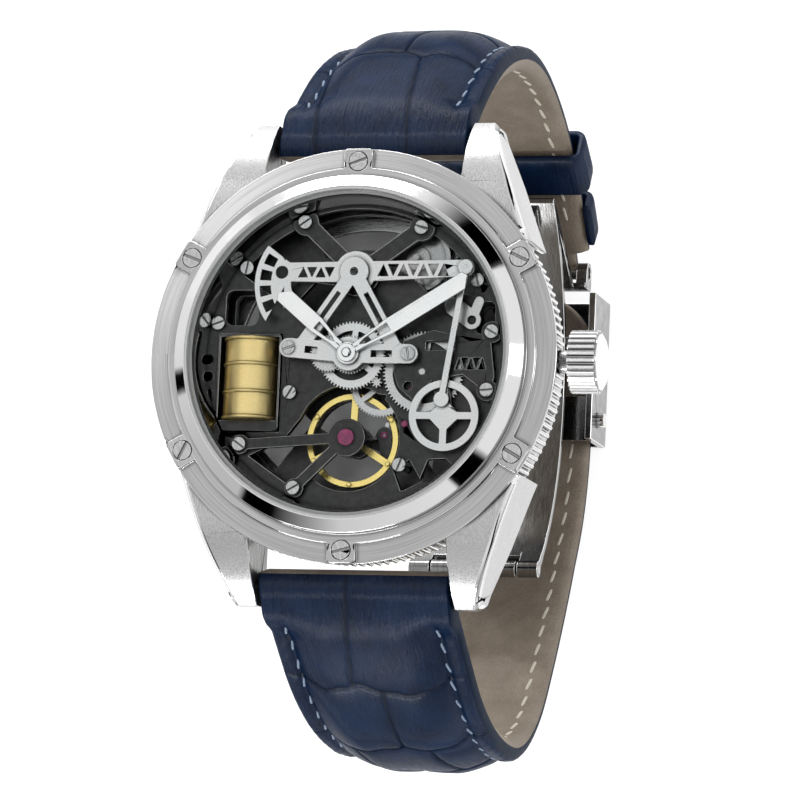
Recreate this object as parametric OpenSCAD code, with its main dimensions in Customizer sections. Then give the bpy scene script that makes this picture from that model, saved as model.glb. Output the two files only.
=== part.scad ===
// Skeleton wristwatch with a pump-jack movement, a leather strap and a folding clasp.
// +Z is the dial's outward normal, +Y points to 12 o'clock and +X to 3 o'clock (the crown).
// The origin is the centre of the case back's outer face.

/* [Case] */
// Radius of the case under the bezel
case_r = 20.5; // [20.4:0.05:20.6]
// Outer radius of the bezel
bezel_r = 21.2; // [21.1:0.1:21.5]
// Depth of the coin-edge flutes
flute_depth = 0.35; // [0.2:0.05:0.4]
// Number of coin-edge flutes
flutes = 150; // [100:10:160]
// Radius of the circle the bezel screws stand on
bezel_screw_r = 19.8; // [19.7:0.05:19.9]
// Gap between the lugs
lug_gap = 20.6; // [20.4:0.1:20.8]
// Distance of each spring bar from the case centre
bar_y = 22.8; // [22.7:0.05:22.9]
// Radius of the front crystal
crystal_r = 16.55; // [16.5:0.05:16.6]

/* [Hands] */
// Length of the hour hand from the axis to the tip
hour_len = 9.7; // [9:0.1:9.8]
// Angle of the hour hand, counter-clockwise from 3 o'clock
hour_deg = 139.6; // [120:1:150]
// Length of the minute hand from the axis to the tip
minute_len = 14.5; // [13:0.1:14.6]
// Angle of the minute hand, counter-clockwise from 3 o'clock
minute_deg = 31.9; // [20:1:40]

/* [Pump] */
// Outer radius of the crank wheel
crank_wheel_r = 3.6; // [3.4:0.1:3.7]
// Number of teeth on the pump wheel
pump_teeth = 68; // [68:1:68]
// Number of teeth on the crank pinion
crank_teeth = 18; // [18:1:18]
// Radius of the oil drum
drum_r = 2.85; // [2.7:0.05:2.9]
// Length of the oil drum
drum_len = 8.5; // [8:0.1:8.6]

/* [Balance] */
// Outer radius of the balance rim
balance_r = 4.8; // [4.6:0.1:4.8]
// Number of turns of the hairspring
hairspring_turns = 7; // [5:1:8]

/* [Crown] */
// Radius of the crown over its flutes
crown_r = 3.2; // [3:0.1:3.2]
// Length of the crown without its domed end
crown_len = 2.8; // [2.6:0.1:3]

/* [Strap] */
// Width of the strap at the lugs
strap_w = 20.2; // [20:0.1:20.2]
// Width of the strap at the clasp
strap_end_w = 18; // [18:0.5:18.5]
// Thickness of the padded strap near the lugs
strap_t = 4; // [3.6:0.1:4.2]
// Thickness of the strap at the clasp
strap_end_t = 2.2; // [2:0.1:2.4]
// Thickness of the keepers' leather
keeper_wall = 1; // [0.8:0.1:1.2]
// Width of the clasp's folding blades
blade_w = 15; // [13:0.5:15]

/* [Hidden] */
$fn = 96;

// Levels above the case back, from the back to the crystal
back_h = 1.9;
plate_z = 3.2;
plate_t = 1.0;
train_z = 4.7;
escape_z = 4.4;
fourth_z = 5.0;
balance_z = 5.35;
third_z = 6.2;
upper_z = 6.8;
upper_t = 0.8;
upper_top = upper_z + upper_t;
pump_z = 7.7;
pump_bridge_z = 8.08;
centre_z = 8.1;
case_top = 8.2;
motion_z = 8.5;
crank_z = 8.7;
beam_z = 8.85;
front_z = 9.3;
hour_z = 9.85;
minute_z = 10.2;
crystal_z = 10.6;
crystal_top = 11.6;
crown_z = 4.5;
gear_t = 0.25;
spoke_turn = 83;
bezel_rim_z = 9.2;

// Places of the axes that carry the movement
balance_xy = [-0.25, -8.3];
pallet_xy = [2.9, -7.65];
escape_xy = [5.63, -6.8];
pump_xy = [7.42, -1.64];
beam_xy = [0.2, 8.4];
beam_end_xy = [11.7, 8.85];
rod_foot_xy = [9.75, -4.55];
drum_xy = [-10.9, -2.3];

// Tooth modules and counts
centre_teeth = 60;
third_teeth = 64;
fourth_teeth = 70;
leaf_teeth = 8;
escape_leaves = 7;
barrel_teeth = 75;
centre_leaves = 12;
centre_mod = 0.1133;
third_mod = 0.1;
fourth_mod = 0.09;
barrel_mod = 0.1;
pump_mod = 0.12;
cannon_teeth = 12;
minute_teeth = 36;
minute_leaves = 10;
hour_teeth = 40;
motion_mod = 0.1;
hour_mod = 0.096;

// Point at a distance and an angle from the origin or from another point
function polar(r, a, c = [0, 0]) = [c[0] + r * cos(a), c[1] + r * sin(a)];
function angle_to(a, b) = atan2(b[1] - a[1], b[0] - a[0]);

// The third point of a triangle with known side lengths from points a and b
function apex(a, b, ra, rb) =
  let(d = norm(b - a), turn = acos((ra * ra + d * d - rb * rb) / (2 * ra * d)))
  polar(ra, angle_to(a, b) + turn, a);

// Axes found from the gears that mesh on them
third_dist = centre_mod * (centre_teeth + leaf_teeth) / 2;
third_xy = polar(third_dist, -45);
fourth_dist = third_mod * (third_teeth + leaf_teeth) / 2;
escape_dist = fourth_mod * (fourth_teeth + escape_leaves) / 2;
fourth_xy = apex(third_xy, escape_xy, fourth_dist, escape_dist);
idler_dist = barrel_mod * (barrel_teeth + centre_leaves) / 2;
idler_deg = 59.5;
idler_xy = polar(idler_dist, idler_deg);
barrel_xy = polar(barrel_mod * barrel_teeth, idler_deg, idler_xy);
crank_xy = polar(pump_mod * (pump_teeth + crank_teeth) / 2, -60.6, pump_xy);
minute_wheel_deg = 178;
minute_wheel_xy = polar(motion_mod * (cannon_teeth + minute_teeth) / 2, minute_wheel_deg);

// Rotation that puts a gap of wheel 2 on the tooth of wheel 1 that lies nearest the line of centres
function mesh_turn(turn1, n1, n2, line) =
  line + 180 - 180 / n2 - (turn1 - line) * n1 / n2;

// Screws: place, head radius and slot angle
movement_screw_spots = [
  [[-5.5, 13.7], 35], [[6.7, 13.1], 160], [[-11.6, 9.1], 80], [[-14.4, 3.4], 20],
  [[14.5, 2.4], 150], [[14.2, -3.5], 5], [[-6.5, -3.7], 60], [[-11.4, -9.1], 145],
  [[-5.5, -13.5], 30], [[5.3, -11.0], 70], [[12.6, 7.8], 105]
];
front_screw_spots = [[[-6.3, 0.6], 20], [[6.2, 0.0], 100]];
screw_head_r = 0.7;
pad_r = 15.42;
screw_shank_r = 0.3;
screw_head_h = 0.4;
shank_gap = 0.02;

// Lug outline seen from above, for the lug at +X +Y, and the curve of its back seen from the side
lug_in = lug_gap / 2;
lug_plan = [[lug_in, 15], [19.4, 8], [17.5, 12.8], [15.4, 18.6], [13.5, 23.2], [12.9, 25.2],
            [lug_in, 25.2]];
lug_back_r = 13.1;
lug_back_yz = [14.5, -5];
lug_side = [[11.8, 0.2], [24.3, 0.2], [25, 1.4], [25, 9], [11.8, 9]];
bar_z = 2.6;
bar_r = 0.75;
bar_tip_r = 0.4;
bar_hole_r = 0.43;
tip_reach = 0.9;

// Straps: start point, start heading and [length, bend] of each stretch, in the Y-Z plane
strap_12_start = [22.2, 1.9];
strap_12_heading = -40;
strap_12_run = [[10, -15], [18, -21.5], [18, -30], [14, -19.5], [12.5, -15]];
strap_6_start = [22.1, 2];
strap_6_heading = -51;
strap_6_run = [[13, -6.5], [22, -32.5], [17, -46], [24, -10], [14, -33], [16, -2]];
strap_step = 2.4;
pad_len = 46;
ease_len = 5;
eye_r = 1.75;
clasp_eye_r = 1.35;
clasp_eye_w = 15;
taper_z = -58;

// Clasp: centre and radii of the folding blades, and its pins
blade_c = [6, -28];
blade_in_r = 28;
blade_t = 0.8;
blade_gap = 0.3;
middle_in_r = blade_in_r + blade_t + blade_gap;
pin_r = 0.45;
knuckle_r = 0.95;
run_gap = 0.05;
ear_w = 2.4;
inner_pin_yz = [-15.6, -46.6];
clasp_bar_yz = [20.8, -60.6];
cover_pin_yz = [12.6, -59.6];
cover_y = [1, 18.2];
cover_z = -66.8;
cover_h = 8.1;
cover_wall = 0.8;
cover_floor = 0.65;
cover_w = 20.6;
button_yz = [3.6, -61.9];
button_r = 0.88;
peg_y = 9;

// ---------- helpers ----------

module tube(r_out, r_in, z0, h) {
  difference() {
    translate([0, 0, z0]) cylinder(r = r_out, h = h);
    translate([0, 0, z0 - 1]) cylinder(r = r_in, h = h + 2);
  }
}

module disc(xy, r, z0, h) {
  translate([xy[0], xy[1], z0]) cylinder(r = r, h = h);
}

module hole(xy, r) {
  translate([xy[0], xy[1], -1]) cylinder(r = r, h = 14);
}

// Bar with round ends between two points
module bar2d(a, b, w) {
  len = norm(b - a);
  translate(a) rotate(angle_to(a, b)) translate([0, -w / 2]) square([len, w]);
  translate(a) circle(r = w / 2);
  translate(b) circle(r = w / 2);
}

module bar(a, b, w, z0, h) {
  translate([0, 0, z0]) linear_extrude(h) bar2d(a, b, w);
}

// Rectangle with round corners, centred
module round_rect(w, h, r) {
  square([w - 2 * r, h], center = true);
  square([w, h - 2 * r], center = true);
  for (x = [-1, 1], y = [-1, 1]) translate([x * (w / 2 - r), y * (h / 2 - r)]) circle(r = r);
}

// Puts a shape drawn as [y, z] into the Y-Z plane and gives it a width along X, centred
module along_x(w) {
  translate([-w / 2, 0, 0]) rotate([90, 0, 90]) linear_extrude(w) children();
}

// Gear outline: trapezoid teeth, one of them centred on the +X axis
function gear_points(n, m) =
  let(r = n * m / 2, root = r - 1.1 * m, tip = r + 0.85 * m, step = 360 / n)
  [for (i = [0 : n - 1], c = [[-0.27, root], [-0.11, tip], [0.11, tip], [0.27, root]])
    polar(c[1], (i + c[0]) * step)];

module gear(n, m, h) {
  linear_extrude(h) polygon(gear_points(n, m));
}

// Spoked wheel: a gear rim with open sectors between its spokes
module spoked_gear(n, m, h, rim, hub, spoke_w, spokes) {
  inner = n * m / 2 - rim;
  linear_extrude(h) difference() {
    polygon(gear_points(n, m));
    difference() {
      circle(r = inner);
      circle(r = hub);
      for (k = [0 : spokes - 1]) rotate(k * 360 / spokes + spoke_turn)
        translate([0, -spoke_w / 2]) square([inner + 0.1, spoke_w]);
    }
  }
}

// Slotted screw with its head's underside at z0
module slot_screw(xy, turn, z0, head_r, head_h, shank_r, shank_l) {
  difference() {
    union() {
      disc(xy, head_r, z0, head_h);
      disc(xy, shank_r, z0 - shank_l, shank_l + 0.01);
    }
    translate([xy[0], xy[1], z0 + head_h / 2]) rotate(turn)
      translate([-head_r * 1.1, -head_r * 0.14, 0]) cube([head_r * 2.2, head_r * 0.28, head_h]);
  }
}

// ---------- case ----------

function coin_points(n, r, d) =
  [for (i = [0 : n - 1], c = [[0.04, r - d], [0.14, r], [0.56, r], [0.66, r - d]])
    polar(c[1], (i + c[0]) * 360 / n)];

module lug() {
  intersection() {
    linear_extrude(9) polygon(lug_plan);
    translate([8, 0, 0]) rotate([90, 0, 90]) linear_extrude(14) intersection() {
      translate(lug_back_yz) circle(r = lug_back_r);
      polygon(lug_side);
    }
  }
}

module case_middle() {
  coin_z = 2.9;
  coin_h = 4.7;
  color("silver") difference() {
    union() {
      translate([0, 0, 0.6]) cylinder(r = case_r - 0.6, h = 1.5);
      translate([0, 0, 2.1]) cylinder(r = case_r, h = case_top - 2.1);
      translate([0, 0, coin_z]) linear_extrude(coin_h)
        polygon(coin_points(flutes, case_r + flute_depth, flute_depth));
      lug();
      mirror([1, 0, 0]) lug();
      mirror([0, 1, 0]) lug();
      mirror([1, 0, 0]) mirror([0, 1, 0]) lug();
    }
    translate([0, 0, 2.2]) cylinder(r = 17, h = 10);
    translate([0, 0, -1]) cylinder(r = 19, h = 3);
    translate([0, 0, 1.9]) cylinder(r = 18.2, h = 1);
    tube(18.2, 17.6, case_top - 0.25, 1);
    for (k = [0 : 5]) hole(polar(bezel_screw_r, 30 + 60 * k), 0.47);
    translate([14, 0, crown_z]) rotate([0, 90, 0]) cylinder(r = 1.2, h = 8);
    for (s = [-1, 1]) translate([0, s * bar_y, bar_z]) rotate([0, 90, 0])
      cylinder(r = bar_hole_r, h = lug_gap + 2.4, center = true);
    translate([20.75, -4, 1.2]) cube([3, 8, 7.6]);
  }
}

module bezel() {
  color("silver") difference() {
    union() {
      rotate_extrude() polygon([
        [16.2, case_top], [bezel_r, case_top], [bezel_r, case_top + 0.35], [19.15, 8.92],
        [19.15, bezel_rim_z], [18.25, bezel_rim_z], [18.2, 10.15], [16.95, 11.1], [16.9, 11.1],
        [16.9, 10.45], [16.2, 10.45]
      ]);
      for (k = [0 : 5]) rotate(30 + 60 * k) translate([19.95, 0, 8.4]) linear_extrude(0.8)
        round_rect(2.3, 3, 0.4);
    }
    for (k = [0 : 5]) hole(polar(bezel_screw_r, 30 + 60 * k), 0.5);
    for (k = [0 : 5]) disc(polar(bezel_screw_r, 30 + 60 * k), 1.02, 8.85, 3);
  }
}

module bezel_screws() {
  slots = [-25, 20, -20, 65, 15, -30];
  color("gainsboro") for (k = [0 : 5])
    slot_screw(polar(bezel_screw_r, 30 + 60 * k), slots[k], 8.85, 0.97, 0.38, 0.45, 3);
}

module bezel_gasket() {
  color("black") tube(18.15, 17.65, case_top - 0.25, 0.25);
}

module crystal() {
  color("lightcyan") rotate_extrude() polygon([
    [0, crystal_z], [crystal_r, crystal_z], [crystal_r, 11.35], [crystal_r - 0.3, crystal_top],
    [0, crystal_top]
  ]);
}

module crystal_gasket() {
  color("white") rotate_extrude() polygon([
    [16.2, 10.45], [16.89, 10.45], [16.89, 11.05], [crystal_r + 0.01, 11.05],
    [crystal_r + 0.01, 10.59], [16.2, 10.59]
  ]);
}

module rehaut() {
  color("dimgray") rotate_extrude() polygon([
    [15.5, upper_top + 0.02], [16.15, upper_top + 0.02], [16.15, 10.43], [15.95, 10.43]
  ]);
}

module case_back() {
  color("silver") difference() {
    cylinder(r = 18.95, h = back_h);
    translate([0, 0, -1]) cylinder(r = 14, h = 4);
    translate([0, 0, -1]) cylinder(r = 14.65, h = 2.2);
    for (k = [0 : 5]) rotate(60 * k) translate([18.2, 0, -0.6]) linear_extrude(1.2)
      round_rect(1.6, 2.4, 0.3);
  }
}

module case_back_crystal() {
  color("lightcyan") cylinder(r = 14.6, h = 1.2);
}

module case_back_gasket() {
  color("black") tube(18.1, 17.4, back_h, 0.28);
}

module spring_bars() {
  color("gray") for (s = [-1, 1]) translate([0, s * bar_y, bar_z]) rotate([0, 90, 0]) {
    cylinder(r = bar_r, h = lug_gap - 0.6, center = true);
    cylinder(r = bar_tip_r, h = lug_gap + 2 * tip_reach, center = true);
  }
}

module crown_tube() {
  color("gray") translate([0, 0, crown_z]) rotate([0, 90, 0]) tube(1.18, 0.62, 16.3, 5.6);
}

// ---------- fixed parts of the movement ----------

module movement_ring() {
  color("silver") difference() {
    tube(16.95, 16.3, plate_z, 4.4);
    translate([14, 0, crown_z]) rotate([0, 90, 0]) cylinder(r = 1.25, h = 5);
  }
}

// Sector-shaped window between two radii and two angles
module sector2d(r0, r1, a0, a1) {
  difference() {
    intersection() {
      circle(r = r1);
      polygon([[0, 0], polar(40, a0), polar(40, (a0 + a1) / 2), polar(40, a1)]);
    }
    circle(r = r0);
  }
}

module plate_windows() {
  sector2d(11.6, 15.2, 62, 112);
  translate([-12, 5]) round_rect(3.4, 3.6, 0.8);
  translate([13.5, 4]) round_rect(2, 3.2, 0.6);
}

// Bores of the train, at the radius of each arbor with running clearance
module arbor_holes(gap) {
  hole([0, 0], 0.38 + gap);
  hole(third_xy, 0.2 + gap);
  hole(fourth_xy, 0.15 + gap);
  hole(escape_xy, 0.12 + gap);
  hole(pallet_xy, 0.12 + gap);
  hole(balance_xy, 0.15 + gap);
  hole(idler_xy, 0.2 + gap);
  hole(barrel_xy, 0.3 + gap);
  hole(crank_xy, 0.3 + gap);
}

module main_plate() {
  color("dimgray") difference() {
    translate([0, 0, plate_z]) linear_extrude(plate_t) difference() {
      circle(r = 16.28);
      plate_windows();
      translate(balance_xy) sector2d(1.6, 4.4, 20, 160);
      translate(balance_xy) sector2d(1.6, 4.4, 200, 340);
      sector2d(8, 14.4, 205, 232);
      sector2d(12, 15, 305, 330);
    }
    arbor_holes(shank_gap);
    translate([10, 0, crown_z]) rotate([0, 90, 0]) cylinder(r = 0.62, h = 8);
    for (s = movement_screw_spots) hole(s[0], screw_shank_r + shank_gap);
  }
}

module upper_plate() {
  color("dimgray") difference() {
    translate([0, 0, upper_z]) linear_extrude(upper_t) difference() {
      circle(r = 16.28);
      plate_windows();
      sector2d(9.9, 14.7, 33, 145);
      translate(balance_xy) circle(r = 5.4);
      polygon([[-5.2, -6.2], [-6.9, -8.4], [-10.6, -10.2], [-6.6, -12.9], [-3, -11.5]]);
      translate([drum_xy[0], drum_xy[1] - 0.4]) square([6.7, 10.1], center = true);
      polygon([[7.4, -12.5], [9.4, -12.9], [11, -11.2], [10, -10.3], [8.2, -10.4]]);
      for (k = [0 : 2]) translate([-15.3, -0.3 - 1.75 * k]) circle(r = 0.5);
      for (k = [0 : 2]) translate([11.9 + 1.25 * k, -0.8])
        polygon([[-0.45, -0.7], [0.45, -0.7], [0, 0.6]]);
      sector2d(12.2, 14.7, 292, 301);
      polygon([[9.2, 6.9], [12.3, 6.2], [12.6, 7.4], [9.6, 8.2]]);
      polygon([[-4.4, 7.6], [-2.2, 7.3], [-4.2, 4.4], [-6.2, 5.6]]);
      polygon([[-1.6, -3.9], [-0.9, -5.2], [3.2, -5.0], [3.6, -3.9], [1.6, -3.7]]);
    }
    arbor_holes(shank_gap);
    hole(pump_xy, 0.3 + shank_gap);
    for (s = movement_screw_spots) hole(s[0], screw_shank_r + shank_gap);
    for (s = front_screw_spots) hole(s[0], screw_shank_r + shank_gap);
  }
}

module top_bridge() {
  spots = [movement_screw_spots[0][0], movement_screw_spots[1][0]];
  z0 = upper_top + 0.02;
  h = 0.5;
  color("dimgray") difference() {
    union() {
      intersection() {
        union() {
          for (s = spots) bar(s, beam_xy, 1.7, z0, h);
          for (s = spots) disc(s, 1.35, z0, h);
        }
        cylinder(r = pad_r, h = 20);
      }
      disc(beam_xy, 2.3, z0, h);
      disc(beam_xy, 0.75, z0, beam_z - z0 - 0.06);
      disc(beam_xy, 0.38, z0, front_z - z0 + 0.35);
    }
    for (s = spots) hole(s, screw_shank_r + shank_gap);
  }
}

module pump_bridge() {
  h = 0.42;
  color("dimgray") difference() {
    intersection() {
      union() {
        translate([0, 0, pump_bridge_z]) linear_extrude(h)
          polygon([[5.1, 1.3], [8.4, 2.6], [14.4, 1.5], [14.9, -2.2], [14.3, -3.9], [11.6, -1.9],
                   [8.5, -2.5], [6.6, -4.6], [5.0, -3.2], [4.4, -1.6]]);
        bar([9.3, -1.5], crank_xy, 1.6, pump_bridge_z, h);
        disc(crank_xy, 1.1, pump_bridge_z, h);
        disc(movement_screw_spots[4][0], 1.1, pump_bridge_z, h);
        disc(movement_screw_spots[5][0], 1.1, pump_bridge_z, h);
      }
      cylinder(r = pad_r, h = 20);
    }
    translate([0, 0, pump_bridge_z - 1]) linear_extrude(3) {
      translate([9.2, 1]) round_rect(3, 0.9, 0.2);
      for (k = [0 : 2]) translate([11.2 + 1.2 * k, -0.75])
        polygon([[-0.4, -0.65], [0.4, -0.65], [0, 0.55]]);
      for (k = [0 : 1]) translate([11.8 + 1.2 * k, -0.75])
        polygon([[-0.4, 0.55], [0.4, 0.55], [0, -0.65]]);
    }
    cylinder(r = 3.75, h = 20);
    hole(pump_xy, 0.3 + shank_gap);
    hole(crank_xy, 0.3 + shank_gap);
    hole([6.0, -3.1], 0.45);
    for (s = [4 : 5]) hole(movement_screw_spots[s][0], screw_shank_r + shank_gap);
    hole(front_screw_spots[1][0], screw_shank_r + shank_gap);
  }
}

// Slot along an arm from a to b, between two distances from a
module arm_slot(a, b, w, from, to) {
  translate([a[0], a[1], front_z - 1]) rotate(angle_to(a, b)) translate([from, -w / 2, 0])
    cube([to - from, w, 3]);
}

module front_bridge() {
  left = front_screw_spots[0][0];
  right = front_screw_spots[1][0];
  left_leg = [-4.9, 0.9];
  right_leg = [4.7, 0.7];
  h = 0.35;
  color("silver") difference() {
    union() {
      disc(beam_xy, 1.5, front_z, h);
      bar(beam_xy, left_leg, 1.5, front_z, h);
      bar(beam_xy, right_leg, 1.5, front_z, h);
      bar(left, [0.1, 0.05], 2, front_z, h);
      bar([-0.1, 0.05], right, 2, front_z, h);
      disc([0, 0], 1.75, front_z, h);
      disc(left, 0.85, upper_top + 0.02, front_z - upper_top);
      disc(right, 0.85, pump_bridge_z + 0.44, front_z - pump_bridge_z - 0.4);
      disc(minute_wheel_xy, 0.2, motion_z - 0.04, front_z - motion_z + 0.1);
    }
    arm_slot(beam_xy, left_leg, 0.45, 2.6, 6.2);
    arm_slot(beam_xy, right_leg, 0.45, 2.6, 6.2);
    arm_slot(left, [0, 0], 0.7, 1.7, 3.0);
    arm_slot(right, [0, 0], 0.7, 1.7, 3.9);
    hole([0, 0], 0.85);
    hole(beam_xy, 0.4);
    hole(left, screw_shank_r + shank_gap);
    hole(right, screw_shank_r + shank_gap);
  }
}

module movement_screws() {
  lifts = [[0, 0.54], [1, 0.54], [4, 0.92], [5, 0.92], [7, 0.62], [8, 0.62]];
  over_barrel = 1;
  color("gainsboro") {
    for (k = [0 : len(movement_screw_spots) - 1]) {
      s = movement_screw_spots[k];
      lift = [for (l = lifts) if (l[0] == k) l[1]];
      z0 = upper_top + 0.01 + (len(lift) > 0 ? lift[0] : 0);
      foot_z = k == over_barrel ? upper_z - 0.2 : plate_z + 0.2;
      slot_screw(s[0], s[1], z0, screw_head_r, screw_head_h, screw_shank_r, z0 - foot_z);
    }
    for (s = front_screw_spots)
      slot_screw(s[0], s[1], front_z + 0.36, 0.7, 0.15, screw_shank_r, 2.6);
  }
}

module oil_drum() {
  rib = 0.22;
  color("goldenrod") intersection() {
    translate([drum_xy[0], drum_xy[1], 6.55]) rotate([90, 0, 0]) {
      cylinder(r = drum_r, h = drum_len, center = true);
      for (s = [-1, 1]) {
        translate([0, 0, s * (drum_len / 2 - rib)])
          rotate_extrude() translate([drum_r - 0.04, 0]) circle(r = rib, $fn = 24);
        translate([0, 0, s * drum_len / 6])
          rotate_extrude() translate([drum_r - 0.08, 0]) circle(r = rib, $fn = 24);
      }
    }
    translate([drum_xy[0] - 4, drum_xy[1] - 6, 6.12]) cube([8, 12, 6]);
  }
}

module drum_frame() {
  color("dimgray") intersection() {
    difference() {
      translate([drum_xy[0], drum_xy[1] - 0.4, 5.8]) linear_extrude(2.1)
        round_rect(6.6, 9.9, 0.3);
      translate([drum_xy[0], drum_xy[1], 6.1]) linear_extrude(3)
        square([6.2, drum_len + 0.1], center = true);
    }
    cylinder(r = pad_r, h = 20);
  }
}

module balance_cock() {
  z0 = upper_top + 0.05;
  h = 0.55;
  feet = [movement_screw_spots[7][0], movement_screw_spots[8][0]];
  color("dimgray") difference() {
    intersection() {
      union() {
        disc(balance_xy, 1.95, z0, h);
        for (f = feet) {
          bar(f, balance_xy, 1.1, z0, h);
          disc(f, 1.0, z0, h);
        }
      }
      cylinder(r = pad_r, h = 20);
    }
    hole(balance_xy, 0.62);
    for (f = feet) hole(f, screw_shank_r + shank_gap);
  }
}

module pallet_bridge() {
  color("dimgray") difference() {
    union() {
      bar(pallet_xy, [3.4, -10.9], 1.3, 4.92, 0.3);
      disc(pallet_xy, 0.85, 4.92, 0.3);
      disc([3.4, -10.9], 0.6, plate_z + plate_t, 1.02);
    }
    hole(pallet_xy, 0.14);
  }
}

module jewels() {
  color("crimson") {
    disc(balance_xy, 0.6, upper_top + 0.06, 0.62);
    disc(balance_xy, 0.85, upper_top + 0.61, 0.22);
    tube_at(pallet_xy, 0.34, 0.16, 5.22, 0.12);
    disc(escape_xy, 0.36, upper_top, 0.14);
    disc(fourth_xy, 0.36, upper_top, 0.06);
  }
}

module tube_at(xy, r_out, r_in, z0, h) {
  translate([xy[0], xy[1], 0]) tube(r_out, r_in, z0, h);
}

function spiral(r0, r1, turns, steps) =
  [for (i = [0 : steps]) polar(r0 + (r1 - r0) * i / steps, 360 * turns * i / steps)];

module hairspring() {
  steps = hairspring_turns * 20;
  w = 0.05;
  inner = spiral(0.62, 1.9, hairspring_turns, steps);
  outer = spiral(0.62 + w, 1.9 + w, hairspring_turns, steps);
  color("slategray") translate([balance_xy[0], balance_xy[1], 6.2]) linear_extrude(0.2)
    polygon(concat(inner, [for (i = [steps : -1 : 0]) outer[i]]));
}

module setting_lever() {
  color("gray") difference() {
    translate([0, 0, upper_top + 0.02]) linear_extrude(0.35) {
      bar2d([12.2, 3.7], [10.3, 5.1], 1.9);
      bar2d([12.2, 3.7], [12.9, 5.6], 1.0);
    }
    hole([12.2, 3.7], 0.45);
  }
}

// ---------- hands and motion work ----------

// Baton hand along +X with a ridge, a slotted stem and a slanted tip
module baton(len, w, slot_from, slot_to, h) {
  edge_h = h * 0.45;
  intersection() {
    rotate([90, 0, 90]) linear_extrude(len) polygon([
      [-w / 2, 0], [w / 2, 0], [w / 2, edge_h], [0, h], [-w / 2, edge_h]
    ]);
    linear_extrude(h) difference() {
      polygon([[0, -0.45], [slot_from, -0.5], [slot_to, -w / 2], [len - 0.9, -w / 2],
               [len, w / 8], [len - 0.35, w / 2], [slot_to, w / 2], [slot_from, 0.5],
               [0, 0.45]]);
      polygon([[slot_from - 0.4, 0.02], [slot_from + 0.2, 0.24], [slot_to, w / 2 - 0.42],
               [slot_to, -w / 2 + 0.42], [slot_from + 0.2, -0.24], [slot_from - 0.4, -0.02]]);
    }
  }
}

module hour_hand() {
  color("whitesmoke") difference() {
    translate([0, 0, hour_z]) union() {
      rotate(hour_deg) baton(hour_len, 1.75, 2.2, 4.4, 0.28);
      cylinder(r = 1.15, h = 0.24);
    }
    hole([0, 0], 0.62);
  }
}

module hour_wheel() {
  color("lightgray") difference() {
    union() {
      translate([0, 0, motion_z + 0.28]) rotate(hour_turn) gear(hour_teeth, hour_mod, 0.16);
      translate([0, 0, motion_z + 0.28]) cylinder(r = 0.62, h = hour_z + 0.2 - motion_z - 0.28);
    }
    hole([0, 0], 0.42);
  }
}

module minute_hand() {
  color("whitesmoke") translate([0, 0, minute_z]) {
    rotate(minute_deg) baton(minute_len, 1.7, 2, 5, 0.28);
    cylinder(r = 0.95, h = 0.24);
    cylinder(r = 0.45, h = 0.34);
  }
}

module cannon_pinion() {
  color("lightgray") union() {
    translate([0, 0, motion_z]) gear(cannon_teeth, motion_mod, gear_t);
    translate([0, 0, motion_z]) cylinder(r = 0.38, h = minute_z - motion_z);
  }
}

minute_turn = mesh_turn(0, cannon_teeth, minute_teeth, minute_wheel_deg);
hour_turn = mesh_turn(minute_turn, minute_leaves, hour_teeth, minute_wheel_deg + 180);

module minute_wheel() {
  color("lightgray") translate([minute_wheel_xy[0], minute_wheel_xy[1], 0]) difference() {
    union() {
      translate([0, 0, motion_z]) rotate(minute_turn) gear(minute_teeth, motion_mod, 0.18);
      translate([0, 0, motion_z + 0.17]) rotate(minute_turn)
        gear(minute_leaves, hour_mod, 0.35);
    }
    hole([0, 0], 0.23);
  }
}

// ---------- going train ----------

third_turn = mesh_turn(0, centre_teeth, leaf_teeth, angle_to([0, 0], third_xy));
fourth_turn = mesh_turn(third_turn, third_teeth, leaf_teeth, angle_to(third_xy, fourth_xy));
escape_turn = mesh_turn(fourth_turn, fourth_teeth, escape_leaves, angle_to(fourth_xy, escape_xy));
idler_turn = mesh_turn(0, centre_leaves, barrel_teeth, idler_deg);
barrel_turn = mesh_turn(idler_turn, barrel_teeth, barrel_teeth, idler_deg);

module centre_wheel() {
  color("silver") {
    translate([0, 0, centre_z]) spoked_gear(centre_teeth, centre_mod, gear_t, 0.85, 1.1, 0.6, 3);
    disc([0, 0], 0.38, plate_z + 0.1, centre_z - plate_z);
    translate([0, 0, train_z]) gear(centre_leaves, barrel_mod, gear_t);
  }
}

module third_wheel() {
  color("silver") translate([third_xy[0], third_xy[1], 0]) rotate(third_turn) {
    translate([0, 0, third_z]) spoked_gear(third_teeth, third_mod, 0.2, 0.7, 0.8, 0.5, 4);
    translate([0, 0, plate_z + 0.1]) cylinder(r = 0.2, h = centre_z - plate_z);
    translate([0, 0, centre_z]) gear(leaf_teeth, centre_mod, gear_t);
  }
}

module fourth_wheel() {
  color("silver") translate([fourth_xy[0], fourth_xy[1], 0]) rotate(fourth_turn) {
    translate([0, 0, fourth_z]) spoked_gear(fourth_teeth, fourth_mod, 0.2, 0.7, 0.8, 0.5, 4);
    translate([0, 0, plate_z + 0.1]) cylinder(r = 0.15, h = upper_top - plate_z - 0.2);
    translate([0, 0, third_z]) gear(leaf_teeth, third_mod, 0.2);
  }
}

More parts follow.
